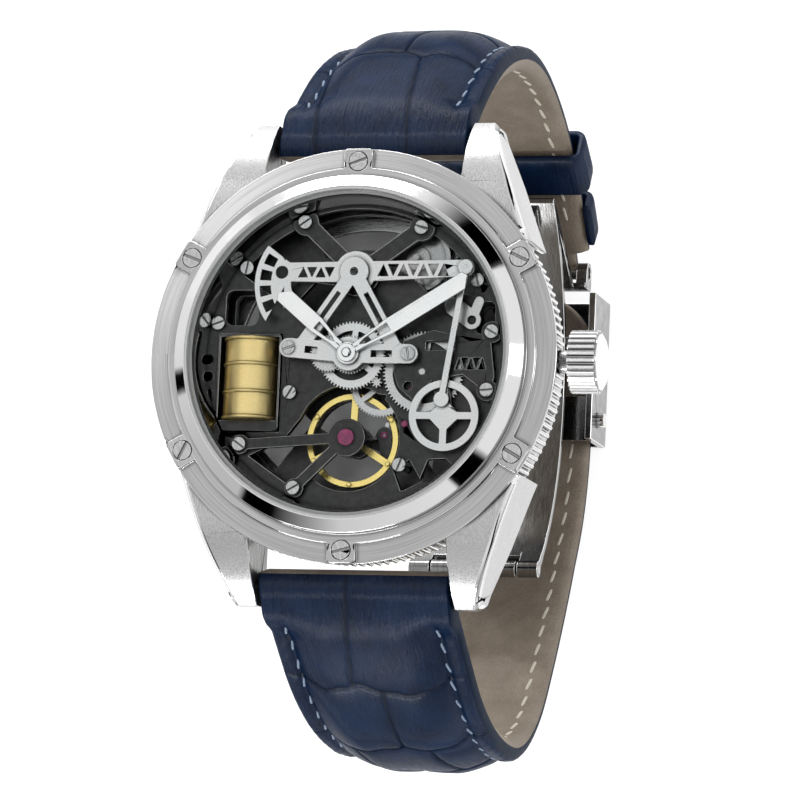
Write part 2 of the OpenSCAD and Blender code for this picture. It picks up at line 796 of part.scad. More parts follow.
// Escape wheel with slender pointed teeth
module escape_wheel() {
  r = 2.2;
  n = 15;
  points = [for (i = [0 : n - 1], c = [[0, 1.75], [0.3, r], [0.38, r], [0.36, 1.75]])
    polar(c[1], (i + c[0]) * 360 / n)];
  color("silver") translate([escape_xy[0], escape_xy[1], 0]) rotate(escape_turn) {
    difference() {
      translate([0, 0, escape_z]) linear_extrude(0.2) polygon(points);
      for (k = [0 : 3]) rotate(45 + 90 * k) translate([1.05, 0, 0]) cylinder(r = 0.4, h = 9);
    }
    translate([0, 0, plate_z + 0.1]) cylinder(r = 0.12, h = upper_top - plate_z - 0.2);
    translate([0, 0, fourth_z]) gear(escape_leaves, fourth_mod, 0.2);
  }
}

module pallet_fork() {
  line = angle_to(pallet_xy, balance_xy);
  color("silver") translate([pallet_xy[0], pallet_xy[1], 0]) rotate(line) {
    translate([0, 0, plate_z + 0.1]) cylinder(r = 0.12, h = 1.9);
    translate([0, 0, escape_z]) linear_extrude(0.2) {
      translate([0, -0.17]) square([2.35, 0.34]);
      bar2d([0, 0], [-0.35, 1.15], 0.4);
      bar2d([0, 0], [-0.35, -1.15], 0.4);
      circle(r = 0.38);
    }
  }
}

module balance_wheel() {
  color("goldenrod") translate([balance_xy[0], balance_xy[1], 0]) {
    translate([0, 0, balance_z]) linear_extrude(0.45) difference() {
      circle(r = balance_r);
      difference() {
        circle(r = balance_r - 0.6);
        circle(r = 0.8);
        for (k = [0 : 2]) rotate(88 + 120 * k) translate([0, -0.35]) square([balance_r, 0.7]);
      }
    }
    for (k = [0 : 5]) rotate(28 + 60 * k) translate([balance_r - 0.3, 0, balance_z])
      cylinder(r = 0.22, h = 0.6);
    translate([0, 0, plate_z + 0.1]) cylinder(r = 0.15, h = upper_top - plate_z - 0.1);
    translate([0, 0, balance_z + 0.4]) cylinder(r = 0.5, h = 0.6);
    translate([0, 0, 4.35]) cylinder(r = 0.45, h = 0.3);
  }
}

module barrel() {
  color("dimgray") translate([barrel_xy[0], barrel_xy[1], 0]) {
    translate([0, 0, train_z]) rotate(barrel_turn) gear(barrel_teeth, barrel_mod, gear_t);
    translate([0, 0, train_z]) difference() {
      cylinder(r = 3.35, h = 1.75);
      translate([0, 0, 1.55]) tube(2.9, 1.2, 0, 1);
    }
    translate([0, 0, plate_z + 0.1]) cylinder(r = 0.3, h = upper_top - plate_z - 0.2);
  }
}

module intermediate_wheel() {
  color("silver") translate([idler_xy[0], idler_xy[1], 0]) {
    translate([0, 0, train_z]) rotate(idler_turn) gear(barrel_teeth, barrel_mod, gear_t);
    translate([0, 0, plate_z + 0.1]) cylinder(r = 0.2, h = upper_top - plate_z - 0.2);
  }
}

// ---------- pump ----------

crank_turn = mesh_turn(0, pump_teeth, crank_teeth, angle_to(pump_xy, crank_xy));

module crank_wheel() {
  t = 0.3;
  rim = 0.75;
  spoke = 0.72;
  color("silver") union() {
    translate([crank_xy[0], crank_xy[1], 0]) {
      translate([0, 0, crank_z]) linear_extrude(t) difference() {
        circle(r = crank_wheel_r);
        difference() {
          circle(r = crank_wheel_r - rim);
          rotate(45) square(2.5, center = true);
          for (k = [0 : 3]) rotate(90 * k) translate([0, -spoke / 2]) square([4, spoke]);
        }
      }
      translate([0, 0, plate_z + 0.1]) cylinder(r = 0.3, h = crank_z - plate_z);
      translate([0, 0, pump_z]) rotate(crank_turn) gear(crank_teeth, pump_mod, gear_t);
    }
    disc(rod_foot_xy, 0.3, crank_z, front_z - 0.1 - crank_z);
  }
}

module pump_wheel() {
  color("silver") translate([pump_xy[0], pump_xy[1], 0]) {
    translate([0, 0, pump_z]) spoked_gear(pump_teeth, pump_mod, gear_t, 0.9, 0.9, 0.6, 4);
    translate([0, 0, upper_z + 0.05]) cylinder(r = 0.3, h = pump_bridge_z + 0.35 - upper_z);
  }
}

// Triangular truss openings between two heights along the beam
module truss(x0, x1, n, y0, y1) {
  step = (x1 - x0) / n;
  for (k = [0 : n - 1]) {
    x = x0 + step * k;
    flip = k % 2 == 0 ? 1 : -1;
    mid = (y0 + y1) / 2;
    half = (y1 - y0) / 2;
    polygon([[x + step * 0.12, mid - flip * half], [x + step * 1.25, mid - flip * half],
             [x + step * 0.7, mid + flip * half]]);
  }
}

module walking_beam() {
  head_c = [-3.9, 7.3];
  ring_xy = [-7.5, 8.4];
  color("silver") union() {
    translate([0, 0, beam_z]) linear_extrude(0.32) difference() {
      union() {
        polygon([[-7.5, 7.45], [0, 7.35], [11.7, 7.95], [11.7, 9.65], [0, 9.5], [-7.5, 9.4]]);
        translate(beam_xy) circle(r = 2.16);
        translate(beam_end_xy) circle(r = 0.85);
        translate(ring_xy) circle(r = 1.05);
        difference() {
          translate(head_c) sector2d(2.6, 6.45, 143, 218);
          polygon([[-7.2, 2], [-7.2, 6.9], [-9.2, 3.0]]);
          polygon([[-7.2, 12.6], [-7.2, 9.6], [-8.6, 11.6]]);
        }
      }
      translate([0.2, 8.4]) circle(r = 0.42);
      translate(ring_xy) circle(r = 0.65);
      translate([0, -0.08]) truss(-5.9, -2.2, 4, 7.95, 9.0);
      translate([0, 0.12]) truss(2.4, 9.7, 7, 7.85, 9.1);
      for (k = [0 : 3]) translate(head_c) sector2d(4.75, 5.9, 149 + 17 * k, 160 + 17 * k);
      polygon([[0.2, 7], [-2, 6], [-2, 5], [3, 5], [3, 6.2]]);
    }
    disc(beam_end_xy, 0.25, beam_z, 0.66);
  }
}

module pump_rod() {
  rod_z = front_z - 0.06;
  t = 0.26;
  color("silver") difference() {
    union() {
      bar(beam_end_xy, rod_foot_xy, 0.62, rod_z, t);
      disc(beam_end_xy, 0.78, rod_z, t);
      disc(rod_foot_xy, 0.78, rod_z, t);
    }
    disc(beam_end_xy, 0.28, rod_z - 1, t + 0.98);
  }
}

// ---------- crown ----------

crown_x = 21.95;
crown_flutes = 28;

module crown() {
  color("silver") translate([crown_x, 0, crown_z]) rotate([0, 90, 0]) difference() {
    union() {
      linear_extrude(crown_len) polygon([
        for (i = [0 : crown_flutes - 1], c = [[0, crown_r - 0.3], [0.2, crown_r],
             [0.6, crown_r], [0.8, crown_r - 0.3]])
          polar(c[1], (i + c[0]) * 360 / crown_flutes)
      ]);
      rotate_extrude() polygon([
        [0, 0.2], [crown_r - 0.35, 0.2], [crown_r - 0.35, crown_len + 0.15], [2.4, crown_len + 0.42],
        [1.3, crown_len + 0.6], [0.4, crown_len + 0.66], [0, crown_len + 0.66]
      ]);
    }
    translate([0, 0, -0.1]) cylinder(r = 1.35, h = 1.3);
  }
}

module winding_stem() {
  color("gray") translate([0, 0, crown_z]) rotate([0, 90, 0])
    translate([0, 0, 12.2]) cylinder(r = 0.45, h = crown_x + 1.2 - 12.2);
}

module crown_seal() {
  color("black") translate([crown_x + 0.75, 0, crown_z]) rotate([0, 90, 0])
    tube(1.3, 0.5, 0, 0.35);
}

// ---------- strap ----------

function unit(a) = [cos(a), sin(a)];

// Points every few millimetres along stretches of [length, bend]: [place, heading, distance run]
function run_points(p, a, s, run, k = 0) =
  k == len(run) ? [[p, a, s]] :
  let(n = ceil(run[k][0] / strap_step), d = run[k][0] / n, turn = run[k][1] / n)
  concat([[p, a, s]], stretch(p, a, s, run, k, n, d, turn, 1));

function stretch(p, a, s, run, k, n, d, turn, i) =
  let(q = p + d * unit(a + turn / 2), b = a + turn)
  i == n ? run_points(q, b, s + d, run, k + 1) :
  concat([[q, b, s + d]], stretch(q, b, s + d, run, k, n, d, turn, i + 1));

function thickness(s) =
  let(ease = s < ease_len ? 0.65 + 0.35 * sin(90 * s / ease_len) : 1)
  s > pad_len ? strap_end_t :
  ease * (strap_end_t + (strap_t - strap_end_t) * (0.5 + 0.5 * cos(180 * s / pad_len)));

// Profile of a strap half from its lining out to its face, drawn for the +Y side
function strap_profile(start, heading, run) =
  let(rings = run_points(start, heading, 0, run))
  concat([for (r = rings) r[0]],
         [for (i = [len(rings) - 1 : -1 : 0])
           rings[i][0] + thickness(rings[i][2]) * unit(rings[i][1] + 90)]);

module strap_taper() {
  top = strap_w / 2;
  end = strap_end_w / 2;
  rotate([90, 0, 0]) linear_extrude(120, center = true)
    polygon([[-end, -80], [end, -80], [end, taper_z], [top, -8], [top, 10], [-top, 10],
             [-top, -8], [-end, taper_z]]);
}

module strap_body(start, heading, run) {
  difference() {
    intersection() {
      union() {
        along_x(strap_w + 2) polygon(strap_profile(start, heading, run));
        translate([0, bar_y, bar_z]) rotate([0, 90, 0])
          cylinder(r = eye_r, h = strap_w, center = true);
      }
      strap_taper();
    }
    translate([0, bar_y, bar_z]) rotate([0, 90, 0])
      cylinder(r = bar_r + run_gap, h = 30, center = true);
  }
}

module strap_12() {
  color("midnightblue") difference() {
    union() {
      strap_body(strap_12_start, strap_12_heading, strap_12_run);
      cross_pin(clasp_bar_yz, clasp_eye_r, clasp_eye_w);
    }
    cross_pin(clasp_bar_yz, bar_r + run_gap, 30);
    for (s = [-1, 1]) translate([s * (clasp_eye_w / 2 + 3), 0, 0])
      cross_pin(clasp_bar_yz, clasp_eye_r + 0.15, 6);
  }
}

module strap_6() {
  color("midnightblue") mirror([0, 1, 0]) difference() {
    strap_body(strap_6_start, strap_6_heading, strap_6_run);
    translate([0, -peg_y, -64]) cylinder(r = 0.8, h = 6, center = true);
  }
}

// Band around the 12 o'clock half at a distance along it, with a gap on the lining's side, room
// on the face's side and slack across; without its back it is open on the lining's side
module keeper(at, w, gap, room, slack, back = true) {
  rings = run_points(strap_12_start, strap_12_heading, 0, strap_12_run);
  spot = [for (r = rings) if (r[2] >= at) r][0];
  t = thickness(at);
  lift = (t + room - gap) / 2;
  centre = spot[0] + lift * unit(spot[1] + 90);
  in_w = strap_end_w + slack;
  in_t = t + gap + room;
  color("midnightblue") translate([0, centre[0], centre[1]]) rotate([spot[1], 0, 0])
    rotate([90, 0, 0]) linear_extrude(w, center = true) difference() {
      round_rect(in_w + 2 * keeper_wall, in_t + 2 * keeper_wall, 1);
      round_rect(in_w, in_t, 0.3);
      if (!back) translate([0, -lift - 10]) square([40, 20], center = true);
    }
}

module keeper_fixed() {
  keeper(65, 5.4, 0.2, 0.5, 0.1, back = false);
}

module keeper_free() {
  keeper(57, 6, 0.35, 0.45, 1.2);
}

// ---------- clasp ----------

// Arc-shaped blade between two angles, seen in the Y-Z plane
module blade(r, a0, a1, w) {
  along_x(w) translate(blade_c) sector2d(r, r + blade_t, a0, a1);
}

module cross_pin(yz, r, w) {
  translate([0, yz[0], yz[1]]) rotate([0, 90, 0]) cylinder(r = r, h = w, center = true);
}

blade_end_deg = -43;
blade_fold_deg = angle_to(blade_c, inner_pin_yz);

// Plate, ears and spring bar seat that join the inner blade to the 12 o'clock strap
module clasp_bracket() {
  top = polar(blade_in_r + blade_t / 2, blade_end_deg, blade_c);
  foot = [clasp_bar_yz[0] - 1.75, clasp_bar_yz[1] + 1.9];
  low = foot - [0, 2.6];
  side_w = (strap_end_w - clasp_eye_w) / 2 - 0.2;
  along_x(blade_w) bar2d(top, foot, blade_t);
  along_x(strap_end_w) bar2d(foot, low, 0.6);
  for (s = [-1, 1]) translate([s * (strap_end_w - side_w) / 2, 0, 0]) along_x(side_w)
    hull_bar(low + [0, 0.9], clasp_bar_yz, clasp_eye_r - 0.1);
}

// Solid link between two points, as wide as a circle at its far end
module hull_bar(a, b, r) {
  dir = (b - a) / norm(b - a);
  side = [-dir[1], dir[0]] * r;
  translate(b) circle(r = r);
  polygon([a - side, b - side, b + side, a + side]);
}

module clasp_blade_inner() {
  color("silver") difference() {
    union() {
      blade(blade_in_r, blade_fold_deg + 3.8, blade_end_deg, blade_w);
      for (s = [-1, 1]) translate([s * (blade_w - ear_w) / 2, 0, 0]) {
        cross_pin(inner_pin_yz, knuckle_r, ear_w);
        along_x(ear_w) translate(blade_c)
          sector2d(blade_in_r - 0.1, blade_in_r + 0.9, blade_fold_deg + 1, blade_fold_deg + 5);
      }
      along_x(10.8) translate(blade_c) sector2d(blade_in_r - 1.2, blade_in_r + 0.1, -45, -50);
      clasp_bracket();
    }
    cross_pin(inner_pin_yz, pin_r + 0.01, 30);
    cross_pin(clasp_bar_yz, bar_r + 0.01, 30);
  }
}

module clasp_blade_middle() {
  w = blade_w - 2 * ear_w - 0.4;
  root = polar(middle_in_r + blade_t / 2, blade_fold_deg + 4.6, blade_c);
  end = polar(middle_in_r + blade_t / 2, -77, blade_c);
  toe = cover_pin_yz + [-0.9, 1.3];
  color("silver") difference() {
    union() {
      blade(middle_in_r, blade_fold_deg + 4, -77, w);
      cross_pin(inner_pin_yz, knuckle_r, w);
      along_x(w) bar2d(inner_pin_yz, root, blade_t);
      along_x(w) bar2d(end, toe, blade_t);
    }
    cross_pin(inner_pin_yz, pin_r + run_gap, 30);
  }
}

module clasp_cover() {
  deep = cover_y[1] - cover_y[0];
  hood_z = button_yz[1] + button_r + 0.15;
  color("silver") difference() {
    union() {
      translate([-cover_w / 2, cover_y[0], cover_z]) cube([cover_w, deep, cover_floor]);
      for (s = [-1, 1])
        translate([s * (cover_w - cover_wall) / 2 - cover_wall / 2, cover_y[0], cover_z])
          cube([cover_wall, deep, cover_h]);
      translate([-cover_w / 2, cover_y[0], hood_z]) cube([cover_w, 5.2, 0.6]);
    }
    cross_pin(cover_pin_yz, pin_r + 0.01, 30);
    cross_pin(button_yz, button_r + 0.04, 30);
  }
}

module clasp_peg() {
  color("silver") translate([0, peg_y, cover_z + cover_floor]) cylinder(r = 0.7, h = 3);
}

module clasp_pin_inner() {
  color("gray") cross_pin(inner_pin_yz, pin_r, blade_w);
}

module clasp_pin_cover() {
  color("gray") cross_pin(cover_pin_yz, pin_r, cover_w - 0.2);
}

module clasp_spring_bar() {
  color("gray") cross_pin(clasp_bar_yz, bar_r, strap_end_w - 0.4);
}

module clasp_button(side) {
  color("silver") translate([side * (cover_w / 2 - 1), button_yz[0], button_yz[1]])
    rotate([0, side * 90, 0]) {
      cylinder(r = button_r, h = 1.9);
      cylinder(r = 1, h = 0.12);
    }
}

module clasp_button_right() {
  clasp_button(1);
}

module clasp_button_left() {
  clasp_button(-1);
}

// ---------- nodes ----------

case_middle();
bezel();
bezel_screws();
bezel_gasket();
crystal();
crystal_gasket();
rehaut();
movement_ring();
main_plate();
upper_plate();
top_bridge();
pump_bridge();
front_bridge();
movement_screws();
oil_drum();
drum_frame();
balance_cock();
pallet_bridge();
jewels();
hairspring();
setting_lever();
crown_tube();
case_back();
case_back_crystal();
case_back_gasket();
spring_bars();
hour_hand();
hour_wheel();
minute_hand();
cannon_pinion();
minute_wheel();
centre_wheel();
third_wheel();
fourth_wheel();
escape_wheel();
pallet_fork();
balance_wheel();
barrel();
intermediate_wheel();
crank_wheel();
pump_wheel();
walking_beam();
pump_rod();
crown();
winding_stem();
crown_seal();
strap_12();
strap_6();
keeper_fixed();
keeper_free();
clasp_spring_bar();
clasp_blade_inner();
clasp_blade_middle();
clasp_cover();
clasp_peg();
clasp_pin_inner();
clasp_pin_cover();
clasp_button_right();
clasp_button_left();
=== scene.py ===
import math
import random

import bpy
import numpy as np
from mathutils import Matrix, Vector

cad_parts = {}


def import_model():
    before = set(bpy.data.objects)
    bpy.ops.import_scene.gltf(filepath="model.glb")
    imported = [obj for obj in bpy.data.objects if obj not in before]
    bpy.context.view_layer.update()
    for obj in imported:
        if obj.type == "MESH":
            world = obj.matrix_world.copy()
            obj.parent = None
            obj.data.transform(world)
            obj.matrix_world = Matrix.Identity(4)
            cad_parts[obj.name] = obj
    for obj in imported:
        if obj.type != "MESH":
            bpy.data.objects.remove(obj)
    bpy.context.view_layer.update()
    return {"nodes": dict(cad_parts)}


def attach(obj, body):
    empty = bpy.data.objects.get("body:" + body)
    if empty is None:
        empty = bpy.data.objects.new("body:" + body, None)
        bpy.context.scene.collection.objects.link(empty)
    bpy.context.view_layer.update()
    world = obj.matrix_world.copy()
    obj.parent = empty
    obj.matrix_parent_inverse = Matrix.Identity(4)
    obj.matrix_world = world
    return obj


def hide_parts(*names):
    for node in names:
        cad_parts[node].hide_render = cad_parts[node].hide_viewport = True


# Looks of the skeleton wristwatch. The shape functions work in millimetres; MM turns them
# into metres. The strap's path repeats the numbers of the CAD source.
MM = 0.001
SEED = 7

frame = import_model()
NODES = frame["nodes"]
rng = random.Random(SEED)


# ---------- node trees ----------


class Nodes:
    """Adds nodes to a node tree and links them."""

    def __init__(self, tree):
        self.tree = tree

    def node(self, kind, **settings):
        made = self.tree.nodes.new(kind)
        for key, value in settings.items():
            setattr(made, key, value)
        return made

    def feed(self, socket, value):
        if hasattr(value, "links"):
            self.tree.links.new(value, socket)
        else:
            socket.default_value = value

    def fed(self, kind, inputs, **settings):
        """First output of a new node whose inputs are fed."""
        made = self.node(kind, **settings)
        for key, value in inputs.items():
            self.feed(made.inputs[key], value)
        return made.outputs[0]

    def math(self, kind, a, b=0.0):
        return self.fed("ShaderNodeMath", {0: a, 1: b}, operation=kind)

    def parts(self, vector):
        """The x, y and z outputs of a vector."""
        made = self.node("ShaderNodeSeparateXYZ")
        self.feed(made.inputs[0], vector)
        return made.outputs

    def length(self, x, y):
        squares = self.math("ADD", self.math("MULTIPLY", x, x), self.math("MULTIPLY", y, y))
        return self.math("SQRT", squares)

    def ramp(self, fac, *stops):
        """Colour from stops that are each (place, colour or value of grey)."""
        made = self.node("ShaderNodeValToRGB")
        self.feed(made.inputs[0], fac)
        points = made.color_ramp.elements
        while len(points) < len(stops):
            points.new(0.5)
        for point, (place, colour) in zip(points, stops):
            point.position = place
            point.color = (*(colour if isinstance(colour, tuple) else grey(colour)), 1)
        return made.outputs[0]


def grey(value):
    return (value, value, value)


# ---------- materials ----------

# A noise is used between these values, which nearly all of it lies within
NOISE_LOW, NOISE_HIGH = 0.3, 0.7
# Painted shade: colours are darkened towards this colour in grooves, beside walls and between
# parts, by an occlusion that reaches this far in mm and is raised to this power
PAINTED_SHADE = grey(0.015)
PAINTED_SHADE_REACH = 0.45
PAINTED_SHADE_POWER = 1.6
# The bezel's polished cone ends and its brushed flat ring starts at this radius
CONE_RADIUS = 18.22


class Paint(Nodes):
    """A Principled material built from procedural nodes."""

    def __init__(self, name, **constants):
        self.mat = bpy.data.materials.new(name)
        self.mat.use_nodes = True
        super().__init__(self.mat.node_tree)
        self.bsdf = self.tree.nodes["Principled BSDF"]
        self.coords = self.node("ShaderNodeTexCoord").outputs["Object"]
        for key, value in constants.items():
            self.set(key.replace("_", " "), value)

    def set(self, name, value):
        self.feed(self.bsdf.inputs[name], value)

    def scaled(self, *scale):
        """Coordinates in mm times one scale, or times a scale for each axis."""
        scale = scale * 3 if len(scale) == 1 else scale
        return self.fed("ShaderNodeMapping",
                        {"Vector": self.coords, "Scale": [s / MM for s in scale]})

    def ring_coords(self, fine, along):
        """Coordinates whose x runs along the radius and y round the Z axis."""
        x, y, z = self.parts(self.coords)
        return self.fed("ShaderNodeCombineXYZ", {
            0: self.math("MULTIPLY", self.length(x, y), fine / MM),
            1: self.math("MULTIPLY", self.math("ARCTAN2", y, x), along),
            2: self.math("MULTIPLY", z, fine / MM)})

    def noise(self, vector, detail=4.0):
        made = self.node("ShaderNodeTexNoise")
        self.feed(made.inputs["Vector"], vector)
        for name, value in (("Scale", 1.0), ("Detail", detail), ("Roughness", 0.6)):
            made.inputs[name].default_value = value
        return made.outputs["Fac"]

    def cells(self, vector):
        made = self.node("ShaderNodeTexVoronoi")
        self.feed(made.inputs["Vector"], vector)
        made.inputs["Scale"].default_value = 1.0
        return made.outputs["Distance"]

    def mapped(self, value, start, end, low, high):
        """Maps start..end to low..high, and holds the ends beyond them."""
        return self.fed("ShaderNodeMapRange", {"Value": value, "From Min": start, "From Max": end,
                                               "To Min": low, "To Max": high})

    def span(self, noise, low, high):
        return self.mapped(noise, NOISE_LOW, NOISE_HIGH, low, high)

    def mix(self, fac, a, b):
        made = self.node("ShaderNodeMix", data_type="RGBA")
        self.feed(made.inputs["Factor"], fac)
        for socket, value in ((made.inputs[6], a), (made.inputs[7], b)):
            self.feed(socket, (*value, 1) if isinstance(value, tuple) else value)
        return made.outputs[2]

    def bump(self, height, strength, depth):
        self.set("Normal", self.fed("ShaderNodeBump", {
            "Strength": strength, "Distance": depth * MM, "Height": height}))

    def mark(self, name):
        """A value that the mesh carries at its points."""
        return self.node("ShaderNodeAttribute", attribute_name=name).outputs["Fac"]

    def painted_crevice_shade(self, alone=False):
        """Painted shade: 0 deep in a groove or beside a wall, 1 in the open, and colours that use
        it are darkened where it is 0.
        Alone counts only the object's own walls, for parts that run close to the crystal."""
        near = self.node("ShaderNodeAmbientOcclusion", samples=6, only_local=alone)
        near.inputs["Distance"].default_value = PAINTED_SHADE_REACH * MM
        return self.math("POWER", near.outputs["AO"], PAINTED_SHADE_POWER)


# Material's name, dark and light colour, roughness, grain per mm along x, y and z, or per mm of
# radius and per radian where it runs round Z, and depth of the scratches in mm
METALS = {
    "case": ("steel_case_brushed", 0.40, 0.60, 0.30, (16, 0.3, 16), 0.003),
    "side": ("steel_side_brushed", 0.32, 0.46, 0.28, (9, 3.0), 0.004),
    "polished": ("steel_polished", 0.74, 0.82, 0.07, (3, 3, 3), 0.0004),
    "screw": ("steel_screw", 0.42, 0.62, 0.22, (14, 2, 2), 0.004),
    "bridge": ("steel_bridge", 0.66, 0.78, 0.32, (16, 5, 9), 0.002),
    "hands": ("steel_hands", 0.90, 0.97, 0.24, (9, 9, 9), 0),
    "wheel": ("steel_wheel", 0.50, 0.64, 0.26, (16, 16, 4), 0),
    "blade": ("steel_blade", 0.17, 0.30, 0.16, (12, 0.6, 0.6), 0.003),
    "plate": ("plate_grey", 0.048, 0.070, 0.40, (1.2, 1.2, 1.2), 0),
    "edge": ("plate_edge", 0.30, 0.42, 0.22, (8, 8, 8), 0),
    "drum": ("gold_satin", (0.96, 0.72, 0.30), (1.0, 0.83, 0.41), 0.38, (1.5, 12, 12), 0.003),
    "gold": ("gold_bright", (0.94, 0.72, 0.22), (1.0, 0.84, 0.34), 0.26, (8, 8, 8), 0),
    "blued": ("steel_blued", (0.10, 0.11, 0.16), (0.16, 0.17, 0.24), 0.25, (8, 8, 8), 0.001),
}
CLOSE_TO_CRYSTAL = ("hands", "drum")


def metal(name, dark, light, rough, grain, scratch, alone):
    """A metal: colour and roughness vary with a stretched noise, which also scratches it."""
    p = Paint(name, Metallic=1.0)
    where = p.ring_coords(*grain) if len(grain) == 2 else p.scaled(*grain)
    lines = p.noise(where, detail=3.0)
    clouds = p.noise(p.scaled(0.25), detail=3.0)
    unshaded = p.ramp(lines, (0.35, dark), (0.65, light))
    # Painted shade: the colour is darkened in grooves, beside walls and between parts
    p.set("Base Color", p.mix(p.painted_crevice_shade(alone), PAINTED_SHADE, unshaded))
    p.set("Roughness", p.math("ADD", p.span(lines, rough * 0.8, rough * 1.15),
                              p.span(clouds, -rough * 0.12, rough * 0.12)))
    if scratch:
        p.bump(lines, 0.5, scratch)
    return p.mat


def bezel_finish():
    """The bezel's cone is polished, and the flat ring round it is brushed."""
    p = Paint("steel_bezel", Metallic=1.0)
    x, y, _ = p.parts(p.coords)
    flat = p.math("GREATER_THAN", p.length(x, y), CONE_RADIUS * MM)
    lines = p.noise(p.ring_coords(11, 2.0), detail=3.0)
    brushed = p.ramp(lines, (0.35, 0.38), (0.65, 0.54))
    # Painted shade: the colour is darkened in grooves, beside walls and between parts
    p.set("Base Color", p.mix(p.painted_crevice_shade(), PAINTED_SHADE, p.mix(flat, grey(0.80), brushed)))
    brushed_rough = p.math("MULTIPLY", flat, p.span(lines, 0.22, 0.30))
    p.set("Roughness", p.math("ADD", 0.05, brushed_rough))
    p.set("Anisotropic", p.math("MULTIPLY", flat, 0.55))
    p.set("Tangent", p.node("ShaderNodeTangent", direction_type="RADIAL", axis="Z").outputs[0])
    p.bump(p.math("MULTIPLY", lines, flat), 0.5, 0.004)
    return p.mat


def ruby():
    p = Paint("ruby", Roughness=0.08, Coat_Weight=0.6)
    depth = p.noise(p.scaled(2), detail=2.0)
    p.set("Base Color", p.ramp(depth, (0.35, (0.22, 0.004, 0.08)), (0.65, (0.42, 0.010, 0.16))))
    return p.mat


def glass(name, thin, thick):
    """A crystal: light passes straight through, and only slanted views see a reflection."""
    p = Paint(name)
    smear = p.noise(p.scaled(0.15), detail=2.0)
    clear = p.fed("ShaderNodeBsdfTransparent", {0: p.ramp(smear, (0.4, thick), (0.6, thin))})
    shine = p.fed("ShaderNodeBsdfGlossy", {"Roughness": p.span(smear, 0.02, 0.05)})
    facing = p.fed("ShaderNodeFresnel", {0: 1.45})
    slanted = p.math("MAXIMUM", p.math("SUBTRACT", facing, 0.046), 0.0)
    mixed = p.fed("ShaderNodeMixShader", {0: p.math("MULTIPLY", slanted, 0.9), 1: clear, 2: shine})
    p.tree.nodes.remove(p.bsdf)
    p.feed(p.tree.nodes["Material Output"].inputs["Surface"], mixed)
    return p.mat


def matt(name, specular, grain, dark, light, rough, bump=None, detail=4.0, ends=(0.3, 0.7)):
    """A matt material whose colour, roughness and bump (strength, mm) follow one noise."""
    p = Paint(name, Specular_IOR_Level=specular)
    grains = p.noise(p.scaled(grain), detail)
    p.set("Base Color", p.ramp(grains, (ends[0], dark), (ends[1], light)))
    p.set("Roughness", p.span(grains, *rough))
    if bump:
        p.bump(grains, *bump)
    return p.mat


def thread(name, dark, light):
    return matt(name, 0.3, 9, dark, light, (0.55, 0.75), (0.5, 0.04), 2.0, (0.35, 0.65))


def leather_face():
    """Navy crocodile: the hollows between the scales, marked on the mesh, are darker, with painted
    shade on the scales beside them, and the leather is creased lengthwise where the mesh says that
    it folds. Its gloss fades at a slant."""
    p = Paint("leather_navy")
    facing = p.node("ShaderNodeLayerWeight").outputs["Facing"]
    p.set("Specular IOR Level", p.ramp(facing, (0.10, 0.24), (0.64, 0.01)))
    groove, fold = p.mark("groove"), p.mark("fold")
    pores = p.cells(p.scaled(3.6))
    creases = p.noise(p.scaled(4.2, 0.45, 0.45), detail=5.0)
    clouds = p.noise(p.scaled(0.22), detail=4.0)
    body = p.ramp(clouds, (0.32, (0.0016, 0.0060, 0.020)), (0.68, (0.0046, 0.0170, 0.054)))
    worn = p.mix(p.span(creases, 0.0, 0.35), body, (0.0075, 0.025, 0.068))
    p.set("Base Color", p.mix(p.math("MULTIPLY", groove, 0.75), worn, (0.0008, 0.0028, 0.009)))
    p.set("Roughness", p.math("ADD", p.span(creases, 0.26, 0.38), p.math("MULTIPLY", groove, 0.25)))
    lines = p.math("MULTIPLY", creases, p.math("ADD", 0.35, p.math("MULTIPLY", fold, 4.0)))
    p.bump(p.math("ADD", p.math("MULTIPLY", pores, 0.18), lines), 0.6, 0.10)
    return p.mat


def leather_lining():
    p = Paint("leather_lining", Specular_IOR_Level=0.35)
    pores = p.cells(p.scaled(4.5))
    clouds = p.noise(p.scaled(0.3), detail=5.0)
    body = p.ramp(clouds, (0.3, (0.205, 0.165, 0.125)), (0.7, (0.300, 0.250, 0.200)))
    p.set("Base Color", p.mix(p.span(pores, 0.35, 0.0), body, (0.15, 0.12, 0.09)))
    p.set("Roughness", p.span(clouds, 0.5, 0.65))
    p.bump(pores, 0.5, 0.06)
    return p.mat


FINISH = {key: metal(*row, alone=key in CLOSE_TO_CRYSTAL) for key, row in METALS.items()}
FINISH["bezel"] = bezel_finish()
FINISH["ruby"] = ruby()
FINISH["glass"] = glass("crystal_clear", 0.99, (0.975, 0.985, 0.985))
FINISH["smoked"] = glass("crystal_smoked", 0.34, 0.26)
FINISH["rubber"] = matt("rubber", 0.3, 6, 0.012, 0.03, (0.55, 0.7))
FINISH["gasket"] = matt("gasket_clear", 0.4, 6, 0.60, 0.70, (0.3, 0.4))
FACE = leather_face()
EDGE = matt("leather_edge", 0.03, 2, (0.003, 0.008, 0.022), (0.006, 0.017, 0.042), (0.4, 0.55),
            (0.4, 0.05))
LINING = leather_lining()
THREAD_FACE = thread("thread_blue", (0.14, 0.20, 0.30), (0.34, 0.42, 0.54))
THREAD_LINING = thread("thread_cream", (0.52, 0.47, 0.38), (0.74, 0.70, 0.60))


# ---------- CAD nodes ----------

